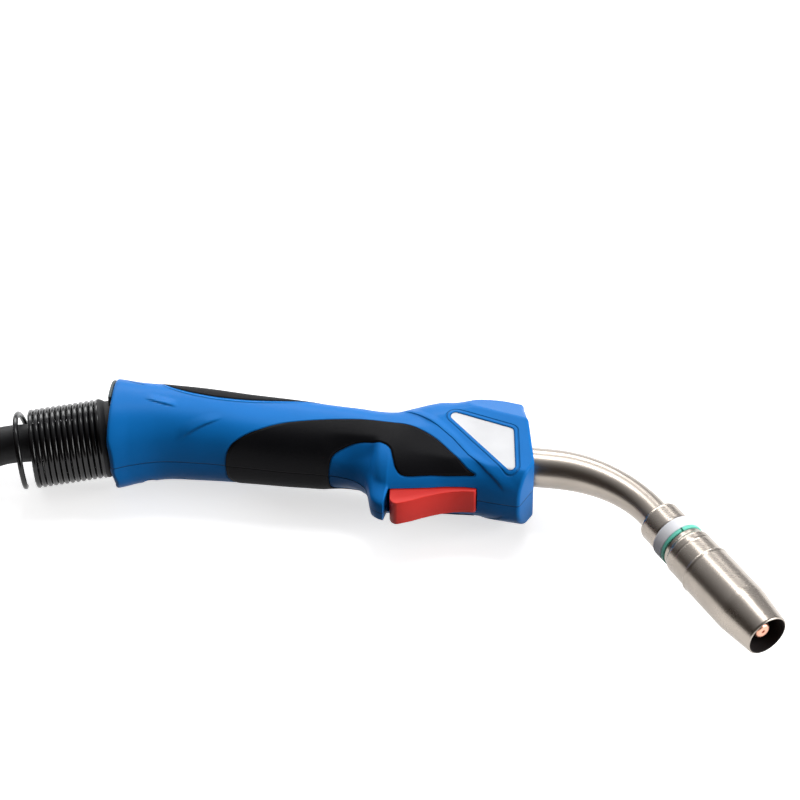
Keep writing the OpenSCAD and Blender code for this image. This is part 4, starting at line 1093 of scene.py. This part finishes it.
class TORCH_OT_connector(Operator):
    """Make the connector on the lead's far end: boot, shell, nut, plug, nipple and sprung pins"""
    bl_idname = "torch.connector"
    bl_label = "Connector"
    PIN_TURN = 144
    PIN_R = 13.0
    HOLE_R, HOLE_END = 2.35, 130
    SLIT_HALF = 0.6
    # every profile is (radius, distance along the connector's axis)
    SHELL_GRIP_RINGS = (58.8, 63.6, 68.4)
    SHELL_REAR = [(13.1, 41.2), (15.2, 41.2), (16.1, 41.4), (16.7, 42.0), (16.9, 42.8),
                  (17.0, 49.0), (16.7, 51.4), (16.0, 54.0), (15.6, 55.6)]
    SHELL_FRONT = [
        (15.6, 75.2), (15.9, 77.6), (16.8, 80.4), (17.6, 82.2), (18.0, 83.6), (18.0, 91.0),
        (18.5, 91.4), (20.8, 92.5), (21.2, 93.1), (21.2, 96.5), (20.8, 97.0), (18.0, 97.0),
        (18.0, 104.0), (9.1, 104.0), (9.1, 60.5), (9.4, 60.5), (9.4, 56.0), (13.1, 56.0)]
    FACE = [(9.1, 104), (19.5, 104), (19.85, 104.3), (19.85, 109.3), (19.3, 110), (17.9, 110),
            (17.5, 109.5), (10.9, 109.5), (10.5, 110), (9.1, 110)]
    NUT = [(18.35, 97.35), (23.6, 97.35), (24.6, 97.7), (25, 98.6), (25, 122.2), (24.6, 123.2),
           (23.4, 124.9), (22.8, 125.35), (20.7, 125.35), (20.2, 124.9)]
    FLUTE = [(0, 100.35), (2.4, 100.35), (3, 100.95), (3, 130), (0, 130)]
    FLUTES = 12
    PLUG = [(2.5, 60.7), (9.0, 60.7), (9.0, 109.8), (8.5, 110.1), (8.5, 117.2), (8.2, 117.5),
            (8.2, 119.1), (8.5, 119.4), (8.5, 132.5), (8.2, 133.4), (7.5, 134.0), (4.5, 134.0),
            (4.5, 126.0), (2.5, 126.0)]
    NIPPLE = [(2.0, 126.1), (4.4, 126.1), (4.4, 134.1), (4.8, 134.1), (5.0, 134.4), (5.0, 141.6),
              (4.8, 141.8), (3.65, 141.8), (3.65, 144.2), (4.8, 144.2), (5.0, 144.4), (5.0, 145.9),
              (4.6, 146.6), (4.0, 147.0), (2.5, 147.0), (2.0, 146.5)]
    PIN = [(0, 100.5), (1.7, 100.5), (2.0, 100.8), (2.0, 120.2), (1.85, 121.0), (1.45, 121.6),
           (0.8, 121.95), (0, 122)]

    def execute(self, context):
        boot, shell, face, nut, plug, nipple, ring, *pins = CONNECTOR_PIECES
        self.boot(boot)
        self.shell(shell)
        face = coaxial(face, self.FACE, 72)
        cut_away(face, self.pin_holes(103))
        settle(face, "torch", "switch", ("connector_flange",))
        self.nut(nut)
        self.plug(plug)
        nipple = coaxial(nipple, self.NIPPLE, 48)
        settle(nipple, "torch", "brass", ("gas_nipple",))
        section = [(4.3 + 0.6 * math.cos(a), 143 + 0.6 * math.sin(a))
                   for a in np.linspace(0, 2 * math.pi, 13)[:-1]]
        ring = coaxial(ring, section, 48)
        settle(ring, "torch", "sleeve", ("nipple_seal",), smooth=60)
        for name, place, body in zip(pins, self.pin_places(), ("pin_a", "pin_b")):
            pin = turned(name, self.PIN, place, CONNECTOR_AXIS, 32)
            settle(pin, body, "brass", ("control_" + body,))
        return {"FINISHED"}

    def pin_places(self):
        return [beside_connector(side * self.PIN_TURN, self.PIN_R) for side in (-1, 1)]

    def pin_holes(self, start):
        return [rod("hole_cutter", self.HOLE_R, start, self.HOLE_END, place, CONNECTOR_AXIS, 32)
                for place in self.pin_places()]

    def boot(self, name):
        """Seven ribs that widen towards the connector, on a core that widens less."""
        profile = [(9.3, 0)]
        for i in range(7):
            s, r = i * 38 / 7, 12 + i * 0.5
            core = 10.8 + s * 0.09
            profile += [(core, s), (r - 0.6, s), (r, s + 0.6), (r, s + 2.4), (r - 0.6, s + 3.0),
                        (core + 0.3, s + 3.0)]
        profile[1] = (11.0, 0)
        profile += [(14.4, 40.8), (13.0, 41.0), (13.0, 55.6), (9.3, 55.6)]
        settle(coaxial(name, profile, 64), "torch", "sleeve", ("connector_boot",))

    def shell(self, name):
        rings = [(r, s + up) for s in self.SHELL_GRIP_RINGS
                 for r, up in ((15.6, 0), (16.1, 0.5), (16.1, 2.1), (15.6, 2.6))]
        shell = coaxial(name, self.SHELL_REAR + rings + self.SHELL_FRONT, 72)
        cut_away(shell, self.pin_holes(97.4))
        settle(shell, "torch", "connector", ("connector_housing",))

    def nut(self, name):
        """The hand nut with thread rings in its bore and flutes on its grip."""
        threads = [(r, s - back) for s in np.arange(124.0, 110.5, -2.0)
                   for r, back in ((20.2, 0), (20.9, 0.7), (20.9, 0.9), (20.2, 1.6))]
        nut = coaxial(name, self.NUT + threads + [(20.2, 103.65), (18.35, 103.65)], 96)
        places = [beside_connector(15 + 360 / self.FLUTES * i, 26.6) for i in range(self.FLUTES)]
        flutes = [turned("flute", self.FLUTE, place, CONNECTOR_AXIS, 24) for place in places]
        cut_away(nut, [joined("flutes", flutes)])
        settle(nut, "nut", "connector", ("connector_nut",))

    def plug(self, name):
        """The contact plug with two crossing slits in its front end."""
        plug = coaxial(name, self.PLUG, 64)
        half = self.SLIT_HALF
        for angle in (45, 135):
            corners = []
            for r, w in ((-12, -half), (12, -half), (12, half), (-12, half)):
                aside = beside_connector(angle + 90, w) - on_connector()
                corners.append(beside_connector(angle, r, 126.6) + aside)
            cut_away(plug, [prism("slit", corners, 12, CONNECTOR_AXIS)])
        settle(plug, "torch", "brass", ("brass_plug",))


class TORCH_OT_screws(Operator):
    """Make the socket-head screws that hold the two shells together"""
    bl_idname = "torch.screws"
    bl_label = "Shell screws"
    SCREW = [(0, 0), (2.2, 0), (2.6, 0.15), (2.8, 0.45), (2.8, 2.3), (1.5, 2.3), (1.5, 15.4),
             (0.9, 16.3), (0, 16.3)]
    HEAD_Z = -9
    SOCKET_R, SOCKET_DEPTH = 1.5, 1.4

    def execute(self, context):
        screws = []
        for x, y in SCREWS:
            screw = turned("screw", self.SCREW, row(x, y, self.HEAD_Z), (0, 0, 1), 40)
            r, below = self.SOCKET_R, self.HEAD_Z - 1
            hexagon = [row(x + r * math.cos(a), y + r * math.sin(a), below)
                       for a in np.radians(np.arange(0, 360, 60))]
            cut_away(screw, [prism("socket", hexagon, 1 + self.SOCKET_DEPTH)])
            screws.append(screw)
        settle(joined("shell_screws_socket", screws), "torch", "screw",
               ("shell_screws",))
        return {"FINISHED"}


class TORCH_OT_lead(Operator):
    """Make the welding lead, wound up for storage beside the torch"""
    bl_idname = "torch.lead"
    bl_label = "Lead"
    # the lead's start inside the handle
    INSIDE = [(-116.3, 0, 0), (-150, -0.2, 0), (-165, -1.4, 0), (-180, -3.4, 0),
              (-196.5, -5.8, -0.2)]

    def execute(self, context):
        points = lead_points()
        lead = run_of("welding_lead", points, LEAD_D / 2, rings=3, across=4)
        lead.data.materials.append(finish("lead").material)
        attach(lead, "torch")
        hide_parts("lead_start", "lead_coil", "lead_end")
        inside = [row(*p) for p in self.INSIDE]
        tail = as_mesh(run_of("lead_in_handle", inside, LEAD_D / 2 - 0.05, rings=4, across=4))
        settle(tail, "torch", "lead")
        bpy.context.view_layer.update()
        return {"FINISHED"}


class TORCH_OT_handle(Operator):
    """Make the moulded handle shells with their recesses, trigger slot and screw holes"""
    bl_idname = "torch.handle"
    bl_label = "Handle shells"
    LABEL_RECESS = 0.9
    SCREW_HOLE_R, SCREW_HOLE_Z = 3.1, -6.6

    def execute(self, context):
        skin = HandleSkin.get()
        value = np.minimum(np.minimum(skin.grip, skin.spine), skin.label)
        points, outer, inner, edges = split_skin(skin.points, skin.faces, value)
        normal = vertex_normals(points, outer + inner)
        p = np.array(points)
        label = fields(p)[2]
        depth = np.where(label < 0.3, self.LABEL_RECESS, sizes().inlay_depth / MM)
        count = len(p)
        low = p - normal * depth[:, None]
        shift = {}
        floor = []
        for face in inner:
            floor.append(tuple(shift.setdefault(i, count + len(shift)) for i in face))
        walls = []
        for a, b in edges:
            if a in shift and b in shift:
                walls += [(a, b, shift[b]), (a, shift[b], shift[a])]
        full = np.concatenate([p, low[list(shift)]])
        used, faces = compact(outer + floor + walls)
        piece = built("handle_shells", in_row(full[used]), faces)
        pick_up(piece)
        bpy.ops.object.mode_set(mode="EDIT")
        merge_all(SPUN_SAME)
        face_outwards()
        self.cut(piece)
        self.keep_fields(piece)
        settle(piece, "torch", "shell",
               ("handle_shell_label_side", "handle_shell_table_side"), smooth=38)
        return {"FINISHED"}

    def cut(self, piece):
        """Cuts the trigger slot and the screw holes out of the closed skin."""
        back, front, top, half = SLOT
        corners = ((back, BELOW), (front, BELOW), (front, top), (back, top))
        slot = prism("slot_cutter", [row(x, y, -half) for x, y in corners], 2 * half)
        cutters = [bevelled(slot, 0.8, 2)]
        for x, y in SCREWS:
            cutters.append(rod("screw_cutter", self.SCREW_HOLE_R, 0, 40,
                               row(x, y, self.SCREW_HOLE_Z), (0, 0, -1), 32))
        cut_away(piece, cutters)

    def keep_fields(self, piece):
        """Stores on each vertex what the shell's finish reads."""
        co = np.array([v.co[:] for v in piece.data.vertices])
        q = (co - np.array(row(0, 0, 0))) / MM
        grip, spine, label = fields(q)
        away, strength = crease_field(q)
        height, pinch = fold_field(q)
        edge = np.minimum(np.minimum(grip, spine), label)
        for name, values in (
                ("insert_edge", edge * MM), ("label_edge", label * MM), ("spine_edge", spine * MM),
                ("crease_away", away * MM), ("crease_strength", strength), ("fold", height),
                ("fold_line", pinch)):
            keep_value(piece, name, values)


class TORCH_OT_inserts(Operator):
    """Make the soft grip, the spine insert and the bare label plate"""
    bl_idname = "torch.inserts"
    bl_label = "Grip and label inserts"
    # how far an insert's underside stays off the floor of its recess
    FLOOR_GAP = 0.15
    LABEL_THICK = 0.8

    def execute(self, context):
        skin = HandleSkin.get()
        gap = sizes().inlay_gap / MM
        depth = sizes().inlay_depth / MM - self.FLOOR_GAP
        plans = [
            ("grip_insert", skin.grip, depth, 0.25, "grip", "soft_grip",
             ("grip_inlay_label_side", "grip_inlay_table_side")),
            ("spine_insert", skin.spine, depth, 0.15, "grip", "soft_grip",
             ("spine_inlay_label_side", "spine_inlay_table_side")),
            ("label_blank", skin.label, self.LABEL_THICK, -0.25, "label", "label",
             ("label_plate",)),
        ]
        for which, (name, field, thick, lift, look, slot, nodes) in enumerate(plans):
            piece, places = plate_from_skin(name, field, gap, thick, lift)
            edge = fields(places)[which] + gap
            keep_value(piece, "insert_edge", np.concatenate([edge, edge]) * MM)
            settle(piece, "torch", look, nodes, smooth=50)
        return {"FINISHED"}


class TORCH_OT_trigger(Operator):
    """Make the trigger with its flat sides and rounded finger face"""
    bl_idname = "torch.trigger"
    bl_label = "Trigger"
    OUTLINE = [
        (-62.7, -22.6), (-61.6, -33.2), (-61.3, -34.4), (-60.7, -35.5), (-59.8, -36.2),
        (-58.7, -36.6), (-57.5, -36.5), (-54.5, -35.2), (-51.5, -33.9), (-48, -32),
        (-44.5, -30.3), (-41, -28.7), (-37.5, -27.4), (-34, -26.3), (-30.5, -25.6), (-27, -25.2),
        (-24.1, -25), (-23.5, -24.4), (-23.5, -17.1), (-30.6, -17.1), (-32.6, -22.6)]
    HALF = 7

    def execute(self, context):
        piece = prism("trigger_lever", [row(x, y, -self.HALF) for x, y in self.OUTLINE],
                      2 * self.HALF)
        bevelled(piece, 1.3, 5, 32)
        settle(piece, "trigger", "trigger", ("trigger",), smooth=40)
        return {"FINISHED"}


class TORCH_OT_neck(Operator):
    """Make the plated neck tube and the turned rings on its front end"""
    bl_idname = "torch.neck"
    bl_label = "Neck"
    TUBE_R = 9
    # the share of its radius that the tube loses along the bend
    NARROWS = 0.2
    STRAIGHT = (-40, -20, -6, 2, 6)
    BEND_STEPS = 12
    # where the seal's split lies round the axis, and its half width
    SPLIT, SPLIT_HALF = math.radians(4), 0.45
    SEAL_S = S_SEAL + RING_SHIFT - 1.1
    # piece, start on the front axis, look, slot, node and (radius, distance from that start)
    RINGS = (
        ("ferrule_ring", RING_SHIFT, "nozzle", "nickel", "neck_ferrule", [
            (7.15, 0.3), (8.9, 0.3), (9.6, 0.6), (10.05, 1.3), (10.25, 2.2), (10.25, 10.6),
            (9.9, 11.6), (6.3, 11.6), (6.3, 9.0), (7.15, 9.0)]),
        ("insulator_ring", S_RING + RING_SHIFT + 0.6, "insulator", "insulator", "insulating_ring", [
            (6.3, 0.05), (10.5, 0.05), (10.9, 0.25), (11.0, 0.7), (11.0, 5.7), (10.9, 6.1),
            (10.5, 6.3), (6.3, 6.3)]),
        ("seal_ring_split", SEAL_S, "seal", "seal_teal", "seal_ring", [
            (8.5, 0), (10.7, 0), (10.95, 0.2), (10.95, 1.5), (10.7, 1.75), (8.5, 1.75)]),
        ("holder_band", S_HOLD + RING_SHIFT - 0.6, "nozzle", "nickel", "nozzle_holder", [
            (6.3, 0.25), (10.2, 0.25), (10.5, 0.5), (10.5, 2.0), (10.8, 2.7), (11.5, 3.5),
            (11.7, 4.3), (11.7, 6.9), (11.55, 7.3), (11.55, 7.7), (11.7, 8.1), (11.75, 12.6),
            (11.75, 16.1), (8.5, 16.1), (8.5, 28.5), (7.5, 28.5), (7.5, 4), (6.3, 4)]),
    )

    def execute(self, context):
        points = [row(x, 0) for x in self.STRAIGHT]
        points += [on_bend(BEND * i / self.BEND_STEPS) for i in range(self.BEND_STEPS + 1)]
        points += [on_neck(4), on_neck(10)]
        shares = []
        for i in range(len(points)):
            t = min(max((i - 4) / (self.BEND_STEPS + 1), 0), 1)
            shares.append(1 - self.NARROWS * (0.5 - 0.5 * math.cos(math.pi * t)))
        neck = as_mesh(run_of("neck_tube_bent", points, self.TUBE_R, 8, 10, shares))
        settle(neck, "torch", "neck", ("neck_tube",))
        for name, start, look, slot, node, profile in self.RINGS:
            ring = turned(name, profile, on_neck(start), FRONT_AXIS)
            if node == "seal_ring":
                cut_away(ring, [self.split_cutter()])
            settle(ring, "torch", look, (node,))
        return {"FINISHED"}

    def split_cutter(self):
        up = Vector((0, 0, 1))
        split = up * math.cos(self.SPLIT) + FRONT_AXIS.cross(up) * math.sin(self.SPLIT)
        across = FRONT_AXIS.cross(split)
        foot = on_neck(self.SEAL_S - 1)
        half = self.SPLIT_HALF
        corners = [foot + split * (a * MM) + across * (b * MM)
                   for a, b in ((7, -half), (13, -half), (13, half), (7, half))]
        return prism("split_cutter", corners, 4, FRONT_AXIS)


class TORCH_OT_nozzle(Operator):
    """Make the tapered gas nozzle and the copper contact tip"""
    bl_idname = "torch.nozzle"
    bl_label = "Nozzle and tip"
    NOZZLE = [
        (10.33, JOINT_SHIFT), (11.8, JOINT_SHIFT), (12.25, JOINT_SHIFT + 0.2),
        (12.5, JOINT_SHIFT + 0.7), (12.5, JOINT_SHIFT + 1.5), (12.3, JOINT_SHIFT + 2.0),
        (12.4, 31.8), (12.3, 33.6), (10.35, 50.8), (10.25, 51.3), (9.95, 51.6), (9.6, 51.75),
        (9.25, 51.6), (9.1, 51.0), (9.1, 46), (10.33, 31)]
    # painted shade: a dark finish covers the bore, on what lies within a radius of the axis, and
    # within less from the taper's start on
    SOOT_R, SOOT_TAPER, SOOT_SLOPE = 0.011, 0.031, 0.0763
    TIP_LEN, TIP_BACK = 28, 3
    TIP = [(0.6, 0), (2.6, 0), (3, 0.5), (3, 7), (3.8, 7), (4, 7.3), (4, 26.4), (3.7, 27.2),
           (3.1, 27.8), (2.4, 28), (1.0, 28), (0.7, 27.8), (0.6, 27.3)]

    def execute(self, context):
        start = on_neck(S_NOZZLE)
        nozzle = turned("gas_cup", self.NOZZLE, start, FRONT_AXIS, 96)
        settle(nozzle, "nozzle", "nozzle", ("gas_nozzle",))
        nozzle.data.materials.append(finish("bore_shade").material)
        for face in nozzle.data.polygons:
            place = Vector(face.center) - start
            along = place.dot(FRONT_AXIS)
            reach = self.SOOT_R - max(along - self.SOOT_TAPER, 0) * self.SOOT_SLOPE
            if (place - FRONT_AXIS * along).length < reach:
                face.material_index = 1
        tip_start = S_NOZZLE + NOZZLE_LEN - self.TIP_BACK - self.TIP_LEN
        tip = turned("contact_tip_copper", self.TIP, on_neck(tip_start), FRONT_AXIS, 64)
        settle(tip, "torch", "tip", ("contact_tip",))
        return {"FINISHED"}


class TORCH_OT_rear(Operator):
    """Make the cable sleeve and the support spring behind the handle"""
    bl_idname = "torch.rear"
    bl_label = "Sleeve and spring"
    SLEEVE = [
        (11.3, -10.4), (15.5, -10.4), (15.5, -6.5), (16.7, -5.5), (16.7, 1.4), (17.1, 1.9),
        (17.9, 3.2), (18.1, 3.8), (18.1, 4.6), (17.9, 5.0), (17.3, 5.2), (12.8, 5.2), (12.8, 15.5),
        (11.6, 16.9), (11.3, 16.9)]
    # the wire's thickness, the spring's mean radius and where its first turn lies on the sleeve
    WIRE, MEAN_R, FIRST_TURN = 2.54, 16.9, 3.6
    # the close turns and their pitch, the last turn, how far that one opens and over which share
    # of a turn, its pitch from there on, and the wire's thinner end
    CLOSE_TURNS, PITCH, LAST_TURN, OPENING, OPENS_OVER = 12.45, 2.56, 13.42, 5.8, 0.6
    LAST_PITCH, END_SHARE = 0.3, 0.72
    STEPS = 12

    def execute(self, context):
        sleeve = turned("cable_sleeve_rubber", self.SLEEVE, SLEEVE_AT, SLEEVE_AXIS)
        settle(sleeve, "torch", "sleeve", ("cable_sleeve",))
        self.helix()
        return {"FINISHED"}

    def helix(self):
        """Close turns first, then the open turn that ends under the lead."""
        across = Vector((0, 0, 1)) - SLEEVE_AXIS * SLEEVE_AXIS.z
        across.normalize()
        beside = SLEEVE_AXIS.cross(across)
        points = []
        for i in range(-self.STEPS // 2, int(self.LAST_TURN * self.STEPS) + 1):
            t = i / self.STEPS
            a = -2 * math.pi * t
            open_for = t - self.CLOSE_TURNS
            s = self.FIRST_TURN + self.WIRE / 2 + self.PITCH * min(t, self.CLOSE_TURNS) \
                + self.OPENING * float(above(open_for, 0, self.OPENS_OVER)) \
                + self.LAST_PITCH * max(open_for - self.OPENS_OVER, 0)
            points.append(SLEEVE_AT + SLEEVE_AXIS * (s * MM)
                          + (across * math.cos(a) + beside * math.sin(a)) * (self.MEAN_R * MM))
        shares = [1.0] * (len(points) - 1) + [self.END_SHARE]
        spring = as_mesh(run_of("support_spring_coated", points, self.WIRE / 2, 3, 2, shares))
        settle(spring, "torch", "spring", ("support_spring",), smooth=60)


class TORCH_OT_collar(Operator):
    """Make the grey ring in the handle's rear, with its brim over the spine half of the rim"""
    bl_idname = "torch.collar"
    bl_label = "Rear collar"
    BORE_R = 17.2

    def execute(self, context):
        inner = [row(x + 2.6, y, z) for x, y, z in skin_points(REAR_X, 2.5)[::2]]
        brim = [row(x - 0.1, y, z) for x, y, z in skin_points(REAR_X, 0.7)[::2] if y > -3.9]
        parts = []
        for name, outline, thick in (("collar_plate", inner, 2.5), ("collar_brim", brim, 1.6)):
            part = prism(name, outline, thick, (-1, 0, 0))
            cut_away(part, [rod("collar_bore", self.BORE_R, -30, 30, SLEEVE_AT, SLEEVE_AXIS, 64)])
            bevelled(part, 0.5, 3, 40)
            pick_up(part)
            bpy.ops.object.modifier_apply(modifier="edges")
            parts.append(part)
        collar = joined("rear_collar_ring", parts)
        settle(collar, "torch", "collar", ("rear_collar",))
        return {"FINISHED"}


class TORCH_OT_carried(Operator):
    """Give the solids that stay their finishes"""
    bl_idname = "torch.carried"
    bl_label = "Carried-over solids"
    LOOKS = {
        "steel": ("trigger_pin", "trigger_spring", "nozzle_spring", "wire_liner"),
        "switch": ("switch_body",),
        "trigger": ("switch_plunger",),
        "brass": ("switch_terminals", "power_block", "block_nut", "cable_crimp", "gas_diffuser",
                  "tip_holder"),
    }

    def execute(self, context):
        for look, nodes in self.LOOKS.items():
            for node in nodes:
                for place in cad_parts[node].material_slots:
                    place.material = finish(look).material
        return {"FINISHED"}


class TORCH_OT_stage(Operator):
    """Set up the floor, the backdrop light and the lamps"""
    bl_idname = "torch.stage"
    bl_label = "Stage"
    FLOOR_SIZE = 12
    FLOOR_DROP = 0.0002
    FLOOR_BOUNCE = 0.07
    FLOOR_GLOW = 0.65
    # the sky's colour away from the light and towards it, where the light stands, and the range
    # of directions over which the one turns into the other
    SKY_LOW = (0.052, 0.041, 0.034)
    SKY_HIGH = (0.68, 0.69, 0.72)
    SKY_TOWARDS = (-0.14, 0.72, 0.68)
    SKY_RANGE = (0.1, 1.05)
    # name, place in metres, width, depth, power in watts
    LAMPS = (
        ("lamp_back", (-0.35, 1.3, 0.75), 1.5, 0.4, 14.0),
        ("lamp_over", (0.05, 0.6, 1.35), 0.6, 0.3, 6.0),
        ("lamp_right", (1.35, -0.2, 0.5), 0.8, 0.8, 17.0),
    )

    def execute(self, context):
        lay_down()
        bpy.ops.mesh.primitive_plane_add(size=self.FLOOR_SIZE, location=(0, 0, -self.FLOOR_DROP))
        floor = context.object
        floor.name = "floor"
        bpy.ops.object.transform_apply(location=True, rotation=True, scale=True)
        floor.data.materials.append(self.floor_finish().material)
        self.light(context)
        return {"FINISHED"}

    def floor_finish(self):
        """Dark for the light that it throws back, and pale and glowing where it is seen."""
        base = chosen("floor")
        made = Finish("floor_plain", base, 0.9)
        path, glossy, through = [
            made.add("ShaderNodeLightPath", {}, {}, out=f"Is {ray} Ray")
            for ray in ("Camera", "Glossy", "Transmission")]
        seen = path.most(glossy).most(through)
        made.set("Base Color", made.mix(seen, shade_by(base, self.FLOOR_BOUNCE), base))
        plain = Wire(made, made.shader.outputs[0])
        glow = made.add("ShaderNodeEmission", {}, {"Strength": self.FLOOR_GLOW})
        lit = made.add("ShaderNodeAddShader", {}, {0: plain, 1: glow})
        both = made.add("ShaderNodeMixShader", {}, {0: seen, 1: plain, 2: lit})
        made.feed(made.tree.nodes["Material Output"].inputs[0], both)
        return made

    def light(self, context):
        sky = Sky("studio")
        context.scene.world = sky.world
        x, y, z = sky.split()
        a, b, c = self.SKY_TOWARDS
        towards = (x * a + y * b + z * c).ramp(*self.SKY_RANGE)
        sky.set("Color", sky.mix(towards, self.SKY_LOW, self.SKY_HIGH))
        for name, where, wide, deep, power in self.LAMPS:
            bpy.ops.object.light_add(type="AREA", location=where)
            lamp = context.object
            lamp.name = name
            lamp.data.shape = "RECTANGLE"
            lamp.data.size, lamp.data.size_y = wide, deep
            lamp.data.energy = power
            lamp.rotation_euler = Vector(where).to_track_quat("Z", "Y").to_euler()
        context.scene.view_settings.view_transform = "Standard"


class TORCH_PT_panel(Panel):
    bl_idname = "TORCH_PT_panel"
    bl_label = "Welding torch"
    bl_space_type = "VIEW_3D"
    bl_region_type = "UI"
    bl_category = "Torch"

    def draw(self, context):
        scene = context.scene
        for group in (scene.torch_sizes, scene.torch_colours, scene.torch_view):
            box = self.layout.box()
            for key in group.__annotations__:
                box.prop(group, key)
        for operator in OPERATORS:
            self.layout.operator(operator.bl_idname)


GROUPS = (TorchColours, TorchSizes, TorchView)
OPERATORS = (TORCH_OT_camera, TORCH_OT_connector, TORCH_OT_lead, TORCH_OT_handle, TORCH_OT_screws,
             TORCH_OT_inserts, TORCH_OT_trigger, TORCH_OT_neck, TORCH_OT_nozzle, TORCH_OT_rear,
             TORCH_OT_collar, TORCH_OT_carried, TORCH_OT_stage)
CLASSES = GROUPS + OPERATORS + (TORCH_PT_panel,)


def register():
    for item in CLASSES:
        bpy.utils.register_class(item)
    bpy.types.Scene.torch_colours = PointerProperty(type=TorchColours)
    bpy.types.Scene.torch_sizes = PointerProperty(type=TorchSizes)
    bpy.types.Scene.torch_view = PointerProperty(type=TorchView)


def unregister():
    del bpy.types.Scene.torch_view
    del bpy.types.Scene.torch_sizes
    del bpy.types.Scene.torch_colours
    for item in reversed(CLASSES):
        bpy.utils.unregister_class(item)


def main():
    register()
    bpy.ops.torch.camera()
    bpy.ops.torch.connector()
    bpy.ops.torch.lead()
    bpy.ops.torch.handle()
    bpy.ops.torch.screws()
    bpy.ops.torch.inserts()
    bpy.ops.torch.trigger()
    bpy.ops.torch.neck()
    bpy.ops.torch.nozzle()
    bpy.ops.torch.rear()
    bpy.ops.torch.collar()
    bpy.ops.torch.carried()
    bpy.ops.torch.stage()


if __name__ == "__main__":
    main()
